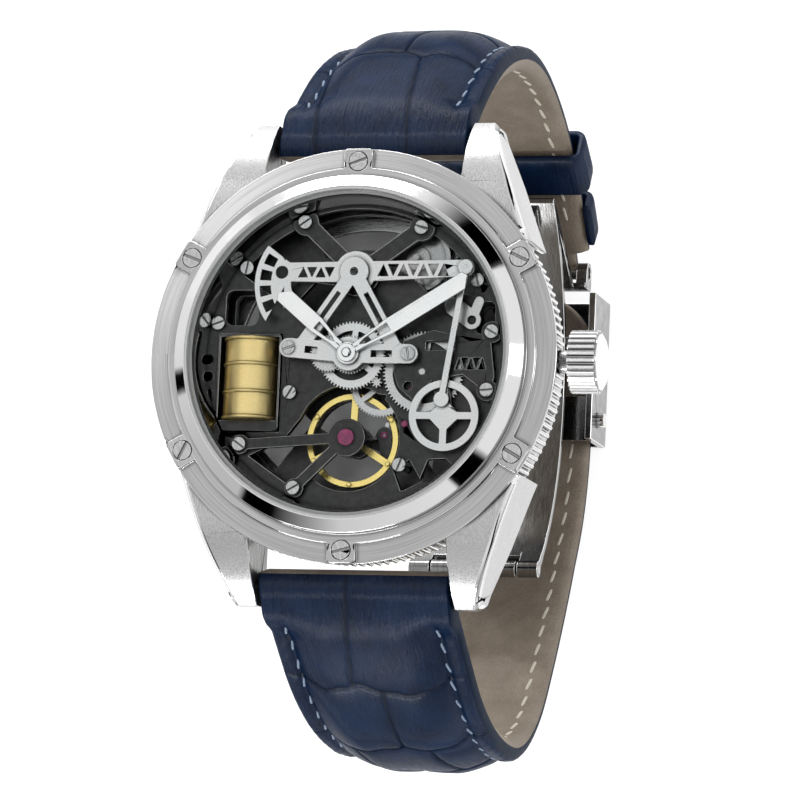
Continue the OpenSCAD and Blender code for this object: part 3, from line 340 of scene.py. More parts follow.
# Finish of each CAD node, the finish of its bevelled edges and the bevel's width in mm
FINISHES = {
    "case_middle": ("case", "polished", 0.65),
    "bezel": ("bezel", "polished", 0.07),
    "bezel_screws": ("screw", None, 0.05),
    "bezel_gasket": ("rubber", None, 0),
    "crystal": ("glass", None, 0),
    "crystal_gasket": ("gasket", None, 0),
    "rehaut": ("polished", None, 0),
    "movement_ring": ("plate", None, 0),
    "main_plate": ("plate", "edge", 0.05),
    "upper_plate": ("plate", "edge", 0.06),
    "top_bridge": ("plate", "edge", 0.08),
    "pump_bridge": ("plate", "edge", 0.06),
    "front_bridge": ("bridge", "polished", 0.06),
    "movement_screws": ("screw", None, 0.04),
    "oil_drum": ("drum", None, 0),
    "drum_frame": ("plate", "edge", 0.06),
    "balance_cock": ("plate", "edge", 0.07),
    "pallet_bridge": ("plate", "edge", 0.04),
    "jewels": ("ruby", None, 0.03),
    "hairspring": ("blued", None, 0),
    "setting_lever": ("wheel", None, 0.04),
    "crown_tube": ("wheel", None, 0),
    "case_back": ("side", "polished", 0.08),
    "case_back_crystal": ("smoked", None, 0),
    "case_back_gasket": ("rubber", None, 0),
    "spring_bars": ("wheel", None, 0),
    "hour_hand": ("hands", "polished", 0.05),
    "minute_hand": ("hands", "polished", 0.05),
    "hour_wheel": ("wheel", None, 0),
    "cannon_pinion": ("wheel", None, 0),
    "minute_wheel": ("wheel", None, 0),
    "centre_wheel": ("bridge", None, 0),
    "third_wheel": ("wheel", None, 0),
    "fourth_wheel": ("wheel", None, 0),
    "escape_wheel": ("wheel", None, 0),
    "pallet_fork": ("wheel", None, 0),
    "balance_wheel": ("gold", None, 0.04),
    "barrel": ("edge", None, 0),
    "intermediate_wheel": ("wheel", None, 0),
    "crank_wheel": ("bridge", "polished", 0.04),
    "pump_wheel": ("wheel", None, 0),
    "walking_beam": ("bridge", "polished", 0.04),
    "pump_rod": ("bridge", "polished", 0.05),
    "crown": ("polished", None, 0.05),
    "winding_stem": ("wheel", None, 0),
    "crown_seal": ("rubber", None, 0),
    "clasp_spring_bar": ("wheel", None, 0),
    "clasp_blade_inner": ("blade", "polished", 0.08),
    "clasp_blade_middle": ("blade", "polished", 0.08),
    "clasp_cover": ("blade", "polished", 0.10),
    "clasp_peg": ("polished", None, 0),
    "clasp_pin_inner": ("wheel", None, 0),
    "clasp_pin_cover": ("wheel", None, 0),
    "clasp_button_right": ("polished", None, 0.06),
    "clasp_button_left": ("polished", None, 0.06),
}

WELD_WITHIN = 0.0004
SHADE_ANGLE = math.radians(30)
BEVEL_ANGLE = math.radians(35)
LUGGED = "case_middle"
# The lugs' outer edges lie outside this radius and this far to the side, above this height
LUG_RADIUS, LUG_SIDE, LUG_LOW = 20.9, 12.5, 1.3
# How wide the case's other edges are bevelled, as a share of the lugs'
OTHER_EDGES = 0.2


def geometry_group(name):
    """A geometry node group, and where its geometry comes in and goes out."""
    group = bpy.data.node_groups.new(name, "GeometryNodeTree")
    for way in ("INPUT", "OUTPUT"):
        group.interface.new_socket("Geometry", in_out=way, socket_type="NodeSocketGeometry")
    g = Nodes(group)
    return g, g.node("NodeGroupInput").outputs[0], g.node("NodeGroupOutput").inputs[0]


def edge_angle(g):
    return g.node("GeometryNodeInputMeshEdgeAngle").outputs["Unsigned Angle"]


def weld_nodes():
    """Node group that joins the CAD mesh's doubled corners and shades its blunt edges smooth."""
    g, shape, end = geometry_group("weld_and_shade")
    shape = g.fed("GeometryNodeRemoveAttribute", {"Geometry": shape, "Name": "custom_normal"})
    shape = g.fed("GeometryNodeMergeByDistance",
                  {"Geometry": shape, "Distance": WELD_WITHIN * MM})
    shape = g.fed("GeometryNodeSetShadeSmooth", {"Geometry": shape}, domain="FACE")
    blunt = g.fed("FunctionNodeCompare", {0: edge_angle(g), 1: SHADE_ANGLE},
                  data_type="FLOAT", operation="LESS_THAN")
    shape = g.fed("GeometryNodeSetShadeSmooth", {"Geometry": shape, "Shade Smooth": blunt},
                  domain="EDGE")
    g.feed(end, shape)
    return g.tree


def lug_edge_nodes():
    """Node group that marks how wide each sharp edge of the case is bevelled: fully along the
    lugs' outer edges, and a fifth of that elsewhere."""
    g, shape, end = geometry_group("lug_edges")
    x, y, z = g.parts(g.node("GeometryNodeInputPosition").outputs[0])
    outside = g.math("MULTIPLY", g.math("GREATER_THAN", g.length(x, y), LUG_RADIUS * MM),
                     g.math("GREATER_THAN", g.math("ABSOLUTE", x), LUG_SIDE * MM))
    on_lug = g.math("MULTIPLY", outside, g.math("GREATER_THAN", z, LUG_LOW * MM))
    share = g.math("ADD", g.math("MULTIPLY", on_lug, 1 - OTHER_EDGES), OTHER_EDGES)
    weight = g.math("MULTIPLY", g.math("GREATER_THAN", edge_angle(g), BEVEL_ANGLE), share)
    g.feed(end, g.fed("GeometryNodeStoreNamedAttribute",
                      {"Geometry": shape, "Name": "bevel_weight_edge", "Value": weight},
                      domain="EDGE", data_type="FLOAT"))
    return g.tree


WELD = weld_nodes()


def finish_node(name, body, edge, width):
    """Gives a CAD node its material and, where width isn't 0, narrow bevelled edges."""
    o = NODES[name]
    o.data.materials.clear()
    o.data.materials.append(FINISH[body])
    if edge:
        o.data.materials.append(FINISH[edge])
    o.modifiers.new("weld", "NODES").node_group = WELD
    if not width:
        return
    if name == LUGGED:
        o.modifiers.new("lug_edges", "NODES").node_group = lug_edge_nodes()
    bevel = o.modifiers.new("bevel", "BEVEL")
    bevel.width = width * MM
    bevel.segments = 1 if name == LUGGED else 2
    bevel.limit_method = "WEIGHT" if name == LUGGED else "ANGLE"
    bevel.angle_limit = BEVEL_ANGLE
    bevel.use_clamp_overlap = False
    bevel.harden_normals = True
    bevel.miter_outer = "MITER_ARC"
    if edge:
        bevel.material = 1


for node_name, finish in FINISHES.items():
    finish_node(node_name, *finish)


# ---------- meshes ----------


def scene_object(name, data):
    o = bpy.data.objects.new(name, data)
    bpy.context.scene.collection.objects.link(o)
    return o


def mesh_object(name, points, faces, materials, body, zones=None, marks=None):
    """A piece from points in mm; zones are the material indices of its faces, and marks are
    values at its points that the materials read."""
    mesh = bpy.data.meshes.new(name)
    mesh.from_pydata((np.asarray(points) * MM).tolist(), [], faces)
    for m in materials:
        mesh.materials.append(m)
    if zones is not None:
        mesh.polygons.foreach_set("material_index", np.asarray(zones, np.int32))
    for key, values in (marks or {}).items():
        mark = mesh.attributes.new(key, "FLOAT", "POINT")
        mark.data.foreach_set("value", np.asarray(values, np.float32))
    mesh.polygons.foreach_set("use_smooth", np.full(len(mesh.polygons), True))
    mesh.validate()
    mesh.update()
    o = scene_object(name, mesh)
    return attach(o, body)


def loop_faces(stations, around, closed=False):
    """Quads between neighbouring closed loops of points, and caps over the two end loops."""
    quads = []
    for i in range(stations if closed else stations - 1):
        a, b = i * around, (i + 1) % stations * around
        for j in range(around):
            k = (j + 1) % around
            quads.append((a + j, a + k, b + k, b + j))
    if not closed:
        quads.append(tuple(range(around - 1, -1, -1)))
        quads.append(tuple(range((stations - 1) * around, stations * around)))
    return quads


def flipped(faces):
    return [tuple(reversed(f)) for f in faces]


# ---------- strap ----------

# Width and thickness of the leather at the lugs and at the clasp, and the taper between them
STRAP_W, STRAP_END_W = 20.2, 18.0
STRAP_T, STRAP_END_T = 4.0, 2.2
TAPER_LENGTH = 46.0
TAPER_HEIGHTS = (-58.0, -8.0)
# The leather starts thinner, and is full after this length
START_SHARE, START_LENGTH = 0.65, 5.0
# The filling lifts the face, and its lift comes and goes between these lengths
PAD, PAD_COMES, PAD_GOES = 1.5, (4, 20), (34, 48)
# Middle of the 12 o'clock spring bar (y, z); the bulge round it ends at this length
BAR = np.array([22.8, 2.6])
BULGE_LENGTH = 3.5
# Thickness at the strap's edge by the clasp, and its share of the strap's further thickness
EDGE_T, EDGE_SLOPE = 1.9, 0.33
# Longest piece of the path, its parts, the step between loops, and the lengths in mm and
# turns in degrees of the two halves' bends
BEND_LENGTH = 2.4
STEP_PARTS = 8
STATION_STEP = 0.3
RUN_12 = ((10, -15), (18, -21.5), (18, -30), (14, -19.5), (12.5, -15))
RUN_6 = ((13, -6.5), (22, -32.5), (17, -46), (24, -10), (14, -33), (16, -2))
# Samples across the face and the lining; the three quads at each rim have the edge's finish
FACE_STEPS, LINING_STEPS, RIM_QUADS = 92, 26, 3
FACE_ZONE, EDGE_ZONE, LINING_ZONE = 0, 1, 2


def unit(degrees):
    return np.array([math.cos(math.radians(degrees)), math.sin(math.radians(degrees))])


def smooth_step(x):
    x = np.clip(x, 0.0, 1.0)
    return x * x * (3 - 2 * x)


def between(s, low, high):
    """Rises smoothly from 0 to 1 between two lengths."""
    return float(smooth_step((s - low) / (high - low)))


def run_path(start, heading, run):
    """Points, headings and lengths along a strap half's lining, in steps of 0.3 mm."""
    p, a, s = np.array(start, float), float(heading), 0.0
    points, headings, lengths = [p], [a], [s]
    for length, turn in run:
        n = math.ceil(length / BEND_LENGTH)
        step, bend = length / n, turn / n
        half = math.radians(bend / 2)
        chord = step * math.sin(half / STEP_PARTS) / math.sin(half)
        for _ in range(n * STEP_PARTS):
            p = p + chord * unit(a + bend / STEP_PARTS / 2)
            a += bend / STEP_PARTS
            s += step / STEP_PARTS
            points.append(p)
            headings.append(a)
            lengths.append(s)
    return np.array(points), np.array(headings), np.array(lengths)


def thickness(s):
    """The strap's plain thickness at a length from the lugs."""
    if s > TAPER_LENGTH:
        return STRAP_END_T
    start = math.sin(math.radians(90 * s / START_LENGTH)) if s < START_LENGTH else 1.0
    wave = 0.5 + 0.5 * math.cos(math.radians(180 * s / TAPER_LENGTH))
    full = STRAP_END_T + (STRAP_T - STRAP_END_T) * wave
    return (START_SHARE + (1 - START_SHARE) * start) * full


def padding(s):
    """How much the filling lifts the face above the strap's plain thickness."""
    return PAD * between(s, *PAD_COMES) * (1 - between(s, *PAD_GOES))


def edge_thickness(full):
    return min(full, EDGE_T + EDGE_SLOPE * max(0.0, full - STRAP_END_T))


def half_width(z):
    """Half the strap's width at a height, tapering from the lugs to the clasp."""
    return np.interp(z, TAPER_HEIGHTS, (STRAP_END_W / 2, STRAP_W / 2))


class Strap:
    """One strap half: where its lining and face run, and how its skin is shaped."""

    def __init__(self, start, heading, run, rows, columns, mirror):
        self.p, self.a, self.s = run_path(start, heading, run)
        self.length = self.s[-1]
        self.rows = rows
        self.columns = columns
        self.side = -1.0 if mirror else 1.0
        start_gap = float(np.linalg.norm(BAR - self.p[0]))
        self.bulge = max(0.0, self.radius() - start_gap)

    def radius(self):
        """Radius of the loop round the spring bar, where the face starts."""
        face = self.p[0] + thickness(0) * unit(self.a[0] + 90)
        return float(np.linalg.norm(face - BAR))

    def at(self, s):
        """Point on the lining, outward direction and thickness at a length along the strap."""
        y = np.interp(s, self.s, self.p[:, 0])
        z = np.interp(s, self.s, self.p[:, 1])
        out = unit(np.interp(s, self.s, self.a) + 90)
        lower = self.bulge * (1 - between(s, 0, BULGE_LENGTH))
        return np.array([y, z]) - lower * out, out, thickness(s) + padding(s) + lower

    def place(self, x, yz):
        return (x, self.side * yz[0], yz[1])


# ---------- crocodile skin ----------

# The rows of stitches run this far in from the edges
STITCH_IN = 2.1
# Radius of the face's rounded rim at the lugs, and how much it grows away from them
RIM, RIM_GROWTH = 0.35, 0.45
# Depth and half width of the seam's hollow, and the width over which the face swells inside it
SEAM_DEPTH, SEAM_WIDTH, SWELL_WIDTH = 0.26, 0.42, 4.6
# Depth and half width of the grooves between scales, inside the seams and outside them
GROOVE_DEPTH, GROOVE_WIDTH = 0.17, 0.17
BORDER_DEPTH, BORDER_WIDTH = 0.10, 0.24
# Each scale is pillowed beside its grooves: depth and reach, and the darkness and reach of the
# painted shade there
PILLOW_DEPTH, PILLOW_REACH = 0.15, 0.8
SHADOW, SHADOW_REACH = 0.15, 0.4
# Rows of scales end at these lengths, and their columns are parted at these places across
COLUMNS_12 = ((-6.9, 2.8), (0.2,), (-4.6, 4.2), (0.6,), (-3.4, 5.0))
COLUMNS_6 = ((-1.5,), (1.0,), (-4.4, 4.0), (-0.5,), (-5.0, 3.2))
ROWS_12 = (13, 24, 34, 43, 51, 58, 65)
ROWS_6 = (11.5, 22.5, 33, 42.5, 51, 59, 66.5, 73.5, 80, 86.5, 93, 99)


def skin(u, edge_t, full_t, s):
    """Height of the face u mm in from the strap's edge, s mm from the lugs."""
    away = between(s, 1.5, 6.0)
    edge_t = full_t + (edge_t - full_t) * away
    rim = RIM + RIM_GROWTH * away
    if u < rim:
        return edge_t * (0.45 + 0.55 * math.sqrt(max(0.0, 1 - (1 - u / rim) ** 2)))
    seam = SEAM_DEPTH * away * math.exp(-((u - STITCH_IN) / SEAM_WIDTH) ** 2)
    rise = math.sin(math.pi / 2 * min(1.0, max(0.0, u - STITCH_IN) / SWELL_WIDTH))
    return edge_t + (full_t - edge_t) * rise - seam


def column_cuts(strap, row, s, low, high):
    """Edges across the strap of the scales in a row; the lines lean a little."""
    shift = 0.10 * ((row % 3) - 1) * (s - (low + high) / 2)
    cuts = strap.columns[row % len(strap.columns)]
    return [-13.0, *(c + shift for c in cuts), 13.0]


def row_edge(strap, k, x):
    """Length along the strap where row k ends at x: each of its scales bulges past the line."""
    cuts = [-10.5, *strap.columns[k % len(strap.columns)], 10.5]
    cell = min(max(int(np.searchsorted(cuts, x)), 1), len(cuts) - 1)
    left, right = cuts[cell - 1], cuts[cell]
    across_cell = (x - (left + right) / 2) / ((right - left) / 2)
    lobe = 0.13 * (right - left) * (1 - across_cell ** 2)
    return strap.rows[k] - 0.5 + lobe + 0.12 * math.sin(2.1 * x + 1.7 * k)


def crocodile(strap, s, x, hw):
    """(depth in mm of the crocodile pattern, darkness 0..1 of its groove and of the painted shade
    beside it) at a place.
    """
    edges = [row_edge(strap, k, x) for k in range(len(strap.rows))]
    row = int(np.searchsorted(edges, s))
    low = edges[row - 1] if row > 0 else -30.0
    high = edges[row] if row < len(edges) else strap.length + 30
    to_row = min(s - low, high - s)
    if abs(x) > hw - STITCH_IN:
        rough = 0.03 * math.sin(2.3 * s + 4 * x) * math.sin(1.1 * s + x)
        line = math.exp(-((to_row / BORDER_WIDTH) ** 2))
        return BORDER_DEPTH * line + rough, 0.7 * line
    cuts = column_cuts(strap, row, s, max(low, 0), min(high, strap.length))
    to_column = min(abs(x - c) for c in cuts) + 1e-3
    near = (max(to_row, 1e-3) ** -3 + to_column ** -3) ** (-1 / 3)
    line = math.exp(-((near / GROOVE_WIDTH) ** 2))
    deep = GROOVE_DEPTH * line + PILLOW_DEPTH * math.exp(-near / PILLOW_REACH)
    return deep, min(1.0, line + SHADOW * math.exp(-near / SHADOW_REACH))


def wrinkle(s, x, seed):
    """Fine lengthwise creases beside the lugs and soft unevenness elsewhere."""
    near = math.exp(-max(s, 0.0) / 5.0)
    waver = math.sin(6.3 * x + 1.7 * math.sin(0.9 * x + seed))
    lines = waver * math.sin(2.4 * x + 0.5 * s + seed)
    slow = math.sin(0.7 * x + 0.31 * s + seed) * math.sin(0.43 * s - 0.5 * x)
    return 0.06 * near * lines + 0.05 * slow


def across(hw):
    """Signed places across the strap for the face samples, closer together at the edges."""
    t = np.linspace(-1, 1, FACE_STEPS)
    return hw * np.sign(t) * (1 - (1 - np.abs(t)) ** 1.25)


def strap_stations(strap, end_radius):
    """The loops' middles: (lining point, face point, half width, length from the lugs)."""
    rows = []
    turn0 = strap.a[0] + 90
    r = strap.radius()
    for k in range(10):
        phi = 90 - 9 * k - (0.5 if k == 0 else 0)
        face = BAR + r * unit(turn0 + phi)
        lining = BAR + r * unit(turn0 + 180 - phi)
        rows.append((lining, face, half_width(BAR[1]), -r * math.sin(math.radians(phi))))
    for s in np.arange(0.0, strap.length - 1e-6, STATION_STEP):
        p, out, t = strap.at(s)
        rows.append((p, p + t * out, half_width(p[1]), s))
    p, out, t = strap.at(strap.length)
    middle, ahead = p + out * t / 2, unit(strap.a[-1])
    for k in range(9):
        c, n = unit(min(89.5, 11.25 * k))
        tip = middle + ahead * end_radius * n
        rim = out * c * t / 2
        rows.append((tip - rim, tip + rim, half_width(p[1]), strap.length + n))
    return rows


def strap_loop(strap, station, hw, seed):
    """One loop of the skin: its points, how deep in a groove each is, and how creased."""
    lining, face, _, s = station
    full = float(np.linalg.norm(face - lining))
    out = (face - lining) / max(full, 1e-9)
    points, groove = [], []
    for x in across(hw):
        deep, dark = crocodile(strap, s, x, hw)
        h = skin(hw - abs(x), edge_thickness(full), full, s)
        lift = min(1.0, full / 1.5) * min(1.0, (hw - abs(x)) / 0.6)
        h += lift * (wrinkle(s, x, seed) - deep)
        points.append(strap.place(x, lining + out * min(max(h, 0.0), full)))
        groove.append(dark)
    for x in np.linspace(hw, -hw, LINING_STEPS):
        tuck = 0.25 * full * max(0.0, 1 - (hw - abs(x)) / 0.45) ** 2
        points.append(strap.place(x, lining + out * tuck))
        groove.append(0.0)
    return points, groove, [math.exp(-max(s, 0.0) / 6.0)] * len(points)


def strap_zones(stations):
    """Material of each face of the skin: a ring of quads per station, then the two caps."""
    rim = [EDGE_ZONE] * RIM_QUADS
    face = [FACE_ZONE] * (FACE_STEPS - 1 - 2 * RIM_QUADS)
    lining = [EDGE_ZONE, *[LINING_ZONE] * (LINING_STEPS - 1), EDGE_ZONE]
    return [*rim, *face, *rim, *lining] * (stations - 1) + [EDGE_ZONE] * 2


def strap_mesh(name, body, strap, end_radius, narrow, seed):
    """The padded, scaled skin of one strap half, as one closed mesh."""
    points, groove, fold = [], [], []
    stations = strap_stations(strap, end_radius)
    for station in stations:
        loop = strap_loop(strap, station, narrow(station[3], station[2]), seed)
        for whole, part in zip((points, groove, fold), loop):
            whole += part
    faces = loop_faces(len(stations), FACE_STEPS + LINING_STEPS)
    if strap.side > 0:
        faces = flipped(faces)
    marks = {"groove": groove, "fold": fold}
    zones = strap_zones(len(stations))
    return mesh_object(name, points, faces, [FACE, EDGE, LINING], body, zones, marks)


# ---------- stitches ----------

PITCH = 2.9
# Length, radius and slant in degrees of a stitch, and its height over the leather
FACE_STITCH = (1.7, 0.15, 11)
LINING_STITCH = (2.2, 0.21, 8)
FACE_HIGH, LINING_HIGH = 0.02, 0.06
# Places along half a stitch and how thick the thread is there; its ends dive into the holes
THREAD_SHAPE = ((-1.0, 0.25), (-0.92, 0.7), (-0.7, 0.95), (-0.3, 1.0),
                (0.3, 1.0), (0.7, 0.95), (0.92, 0.7), (1.0, 0.25))
THREAD_SIDES = 8


def capsule(centre, along, up, length, radius):
    """Points and quads of a small rounded stick that lies along a direction."""
    side = np.cross(along, up)
    rings = []
    for place, share in THREAD_SHAPE:
        sink = -0.55 * radius * max(0.0, abs(place) - 0.6) / 0.4
        mid = centre + along * place * length / 2 + up * sink
        for j in range(THREAD_SIDES):
            t = 2 * math.pi * j / THREAD_SIDES
            rings.append(mid + radius * share * (side * math.cos(t) + up * math.sin(t)))
    return rings, loop_faces(len(THREAD_SHAPE), THREAD_SIDES)


def stitch(strap, s, edge, on_face, size, narrow):
    """Points and quads of one stitch at a length along the strap, beside one of its edges."""
    length, radius, slant = size
    p, out, t = strap.at(s)
    ahead = np.array([out[1], -out[0]])
    high = skin(STITCH_IN, edge_thickness(t), t, s) + FACE_HIGH if on_face else LINING_HIGH
    tilt = math.radians(slant * edge + rng.uniform(-2.5, 2.5))
    along = np.array([math.sin(tilt), strap.side * ahead[0] * math.cos(tilt),
                      ahead[1] * math.cos(tilt)])
    up = np.array([0.0, strap.side * out[0], out[1]]) * (1 if on_face else -1)
    hw = narrow(s, half_width(p[1]))
    centre = np.array(strap.place(edge * (hw - STITCH_IN), p + out * high))
    return capsule(centre, along, up, length * rng.uniform(0.94, 1.05), radius)


def stitches(name, body, strap, ends, on_face, paint, size, narrow):
    """Both rows of stitches on one side of a strap half, joined in one piece."""
    points, faces = [], []
    for k in range(int((ends[1] - ends[0]) / PITCH) + 1):
        for edge in (-1, 1):
            s = ends[0] + PITCH * (k + (0.0 if on_face else 0.5)) + rng.uniform(-0.08, 0.08)
            ring, quads = stitch(strap, s, edge, on_face, size, narrow)
            faces += [tuple(len(points) + v for v in quad) for quad in quads]
            points += ring
    return mesh_object(name, points, faces, [paint], body)


# ---------- keepers ----------

KEEPER_WALL = 1.0
KEEPER_CORNER = 0.9
# Place along the strap, width, gap under the strap, room over it and slack beside it
FIXED_KEEPER = (66.25, 5.4, 0.2, 0.5, 0.1)
FREE_KEEPER = (57.67, 6.0, 0.35, 0.45, 1.2)
KEEPER_GROOVE = 0.22


def band_corners(half_w, half_t, low, back):
    """Corners of a keeper's middle line, rounded: (x, height, outward direction)."""
    turns = ((1, 1, 0), (-1, 1, 90), (-1, -1, 180), (1, -1, 270))
    path = []
    for cx, cz, start in turns if back else turns[:2]:
        for k in range(7):
            d = unit(start + 15 * k)
            path.append((cx * (half_w - KEEPER_CORNER) + KEEPER_CORNER * d[0],
                         cz * (half_t - KEEPER_CORNER) + KEEPER_CORNER * d[1], d))
    return path if back else [(half_w, low, unit(0)), *path, (-half_w, low, unit(180))]


def band_path(half_w, half_t, low, back):
    """Middle line of a keeper's wall: (x, height, outward direction) round the strap."""
    path = band_corners(half_w, half_t, low, back)
    dense = []
    for (x0, z0, d0), (x1, z1, d1) in zip(path, path[1:] + (path[:1] if back else [])):
        n = max(1, int(math.hypot(x1 - x0, z1 - z0) / 0.35))
        for k in range(n):
            f = k / n
            d = d0 * (1 - f) + d1 * f
            dense.append((x0 + f * (x1 - x0), z0 + f * (z1 - z0), d / np.linalg.norm(d)))
    return dense if back else [*dense, path[-1]]


def band_section(width, wall):
    """Rounded cross-section of a keeper's leather: (place along the strap, across its wall)."""
    section = []
    for k in range(36):
        c, s = unit(10 * k)
        section.append((math.copysign(abs(c) ** 0.35, c) * width / 2,
                        math.copysign(abs(s) ** 0.45, s) * wall / 2))
    return section


def band_grooves(x, along, seed):
    """The grooves between the two keepers' scales, 1 in the middle of a groove."""
    right = x - 0.7 * math.sin(along + seed) - 2.2
    left = x - 0.5 * math.sin(along - seed) + 5.1
    return sum(math.exp(-(off / KEEPER_GROOVE) ** 2) for off in (right, left))


def band(name, body, strap, sizes, back, seed):
    """A keeper: a leather band with rounded edges round the strap at a length along it."""
    at, width, gap, room, slack = sizes
    p, out, t = strap.at(at)
    ahead = np.array([out[1], -out[0]])
    lift = (t + room - gap) / 2
    half_w = (STRAP_END_W + slack + KEEPER_WALL) / 2
    half_t = (t + gap + room + KEEPER_WALL) / 2
    dense = band_path(half_w, half_t, -lift, back)
    section = band_section(width, KEEPER_WALL)
    points, groove = [], []
    for x, z, d in dense:
        for along, off in section:
            line = band_grooves(x, along, seed)
            soft = 0.5 + 0.5 * math.sin(1.9 * x + seed) * math.sin(1.1 * along)
            reach = off - (0.12 * line + 0.05 * soft if off > 0 else 0.0)
            yz = p + out * (lift + z + d[1] * reach) + ahead * along
            points.append(strap.place(x + d[0] * reach, yz))
            groove.append(min(1.0, line) if off > 0 else 0.0)
    faces = loop_faces(len(dense), len(section), closed=back)
    if strap.side < 0:
        faces = flipped(faces)
    marks = {"groove": groove, "fold": [0.2] * len(groove)}
    return mesh_object(name, points, faces, [FACE], body, marks=marks)


# ---------- the two strap halves ----------

# The tongue that runs round the clasp's spring bar: where it starts, and its half width
TONGUE_FROM, TONGUE_HALF_W = 69.9, 7.4
# Where the 6 o'clock half ends, and the length of its rounded point
TAIL_END, TAIL_POINT = 106.9, 7.5


def narrow_12(s, hw):
    return hw if s < TONGUE_FROM else TONGUE_HALF_W


def narrow_6(s, hw):
    left = max(0.0, TAIL_END - s)
    return hw * math.sqrt(1 - max(0.0, 1 - left / TAIL_POINT) ** 2) if left < TAIL_POINT else hw


def straps():
    twelve = Strap((22.2, 1.9), -40, RUN_12, ROWS_12, COLUMNS_12, mirror=False)
    six = Strap((22.1, 2.0), -51, RUN_6, ROWS_6, COLUMNS_6, mirror=True)
    # Strap half, radius of its end, how it narrows, its last stitch and the seed of its creases
    jobs = (("strap_12", twelve, 1.1, narrow_12, 66.0, 2.0),
            ("strap_6", six, 0.9, narrow_6, 96.0, 1.0))
    for body, strap, end_radius, narrow, last, seed in jobs:
        skin_piece = strap_mesh(f"{body}_leather", body, strap, end_radius, narrow, seed)
        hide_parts(body)
        stitches(f"{body}_stitches_face", body, strap, (4.5, last), True, THREAD_FACE,
                 FACE_STITCH, narrow)
        stitches(f"{body}_stitches_lining", body, strap, (5.0, last - 1), False, THREAD_LINING,
                 LINING_STITCH, narrow)
    fixed = band("keeper_fixed_leather", "strap_12", twelve, FIXED_KEEPER, False, 1.0)
    free = band("keeper_free_leather", "keeper_free", twelve, FREE_KEEPER, True, 4.0)
    for piece, node in ((fixed, "keeper_fixed"), (free, "keeper_free")):
        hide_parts(node)


straps()


# ---------- studio ----------

FLOOR_Z = -66.8
FLOOR_HALF = 900.0
# The floor glows behind the watch and under it, and its glow starts between these y in mm
GLOW, GLOW_Y = 0.72, (-109.09, -72.73)
WORLD_LIGHT = 0.95
# Where flat horizontal faces, seen from the camera, mirror the studio (x, y of the direction)
FLAT_MIRRORS = (-0.257, 0.141)
# Dark gaps between the lamps round that direction: start, end and how far they fade out, degrees
GAPS = ((-174, -168, 2), (-126, -114, 24), (-48, -36, 2), (31, 49, 16), (139, 150, 8))
# Name, place and target in metres, size in metres and power in watts
LAMPS = (
    ("key", (-0.40, 0.38, 0.42), (0, 0, 0), (0.25, 0.25), 0.55),
    ("side", (0.52, 0.06, 0.34), (0, 0, -0.01), (0.12, 0.40), 0.5),
    ("front", (-0.13, -0.48, 0.055), (0, 0, 0), (0.40, 0.09), 1.3),
    ("back", (-0.13, 0.48, 0.05), (0, 0, 0), (0.40, 0.09), 1.3),
)
# The photo's camera: place in metres, the directions to its right, up and back, and its lens
CAMERA_AT = (0.1103, -0.0623, 0.3992)
CAMERA_RIGHT = (0.96640, 0.04293, -0.25343)
CAMERA_UP = (-0.00522, 0.98903, 0.14764)
CAMERA_BACK = (0.25699, -0.14136, 0.95602)
LENS = 183.4


def floor_paint():
    """Pale sweep with painted light: it glows by itself, brightest under and behind the watch and
    not at the front.
    """
    p = Paint("floor_pale", Roughness=0.8, Emission_Color=(1, 1, 1, 1))
    clouds = p.noise(p.scaled(0.01))
    p.set("Base Color", p.ramp(clouds, (0.3, 0.50), (0.7, 0.52)))
    y = p.parts(p.coords)[1]
    p.set("Emission Strength", p.mapped(y, GLOW_Y[0] * MM, GLOW_Y[1] * MM, 0.0, GLOW))
    return p.mat


def floor():
    corners = ((-1, -1), (1, -1), (1, 1), (-1, 1))
    points = [(x * FLOOR_HALF * MM, y * FLOOR_HALF * MM, FLOOR_Z * MM) for x, y in corners]
    mesh = bpy.data.meshes.new("floor")
    mesh.from_pydata(points, [], [(0, 1, 2, 3)])
    mesh.materials.append(floor_paint())
    o = scene_object("floor", mesh)


def area_light(name, at, towards, size, power):
    data = bpy.data.lights.new(name, "AREA")
    data.shape = "RECTANGLE"
    data.size, data.size_y = size
    data.energy = power
    o = scene_object(name, data)
    o.location = at
    o.rotation_euler = (Vector(towards) - Vector(at)).to_track_quat("-Z", "Y").to_euler()


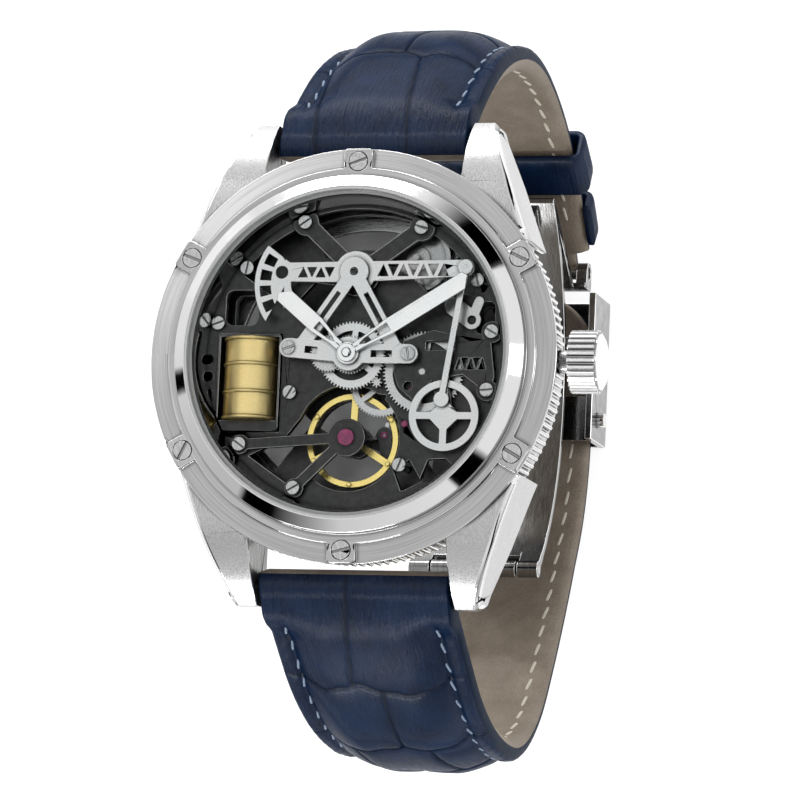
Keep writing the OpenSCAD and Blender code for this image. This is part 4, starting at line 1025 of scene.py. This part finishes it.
def gap_stops():
    """Stops of the ramp round FLAT_MIRRORS, 0 in the dark gaps and 1 between them."""
    stops = [(0.0, 1.0)]
    for start, end, fade in GAPS:
        for degrees, value in ((start - 1.0, 1.0), (start, 0.0), (end, 0.0), (end + fade, 1.0)):
            stops.append(((degrees + 180) / 360, value))
    return stops


def world():
    """Soft studio: bright overhead, with narrow dark gaps between the lamps low down, so that
    tilted polished steel mirrors white and black, and dimmer at the front than at the back."""
    w = bpy.data.worlds.new("studio")
    w.use_nodes = True
    n = Nodes(w.node_tree)

    def mixed(fac, a, b):
        rest = n.math("MULTIPLY", a, n.math("SUBTRACT", 1.0, fac))
        return n.math("ADD", rest, n.math("MULTIPLY", b, fac))

    x, y, z = n.parts(n.node("ShaderNodeTexCoord").outputs["Generated"])
    px, py = n.math("SUBTRACT", x, FLAT_MIRRORS[0]), n.math("SUBTRACT", y, FLAT_MIRRORS[1])
    turn = n.math("ADD", n.math("DIVIDE", n.math("ARCTAN2", py, px), 2 * math.pi), 0.5)
    gaps = n.ramp(turn, *gap_stops())
    tilted = n.ramp(n.length(px, py), (0.0, 0.0), (0.45, 0.0), (0.62, 1.0), (1.0, 1.0))
    front_to_back = n.math("ADD", n.math("MULTIPLY", y, 0.5), 0.5)
    side = n.ramp(front_to_back, (0.0, 0.30), (0.35, 0.60), (0.60, 0.95), (1.0, 1.0))
    high = n.ramp(z, (0.0, 0.0), (0.15, 0.2), (0.55, 1.0), (1.0, 1.0))
    light = n.math("MULTIPLY", mixed(high, side, 1.0), mixed(tilted, 1.0, gaps))
    background = n.tree.nodes["Background"]
    n.feed(background.inputs["Color"], light)
    n.feed(background.inputs["Strength"], WORLD_LIGHT)
    bpy.context.scene.world = w


def camera():
    data = bpy.data.cameras.new("camera")
    data.lens = LENS
    data.sensor_width = 36
    data.clip_start = 0.01
    o = scene_object("camera", data)
    turn = Matrix((CAMERA_RIGHT, CAMERA_UP, CAMERA_BACK)).transposed().to_4x4()
    o.matrix_world = Matrix.Translation(CAMERA_AT) @ turn
    bpy.context.scene.camera = o


floor()
for lamp in LAMPS:
    area_light(*lamp)
world()
camera()
bpy.context.scene.view_settings.view_transform = "Standard"
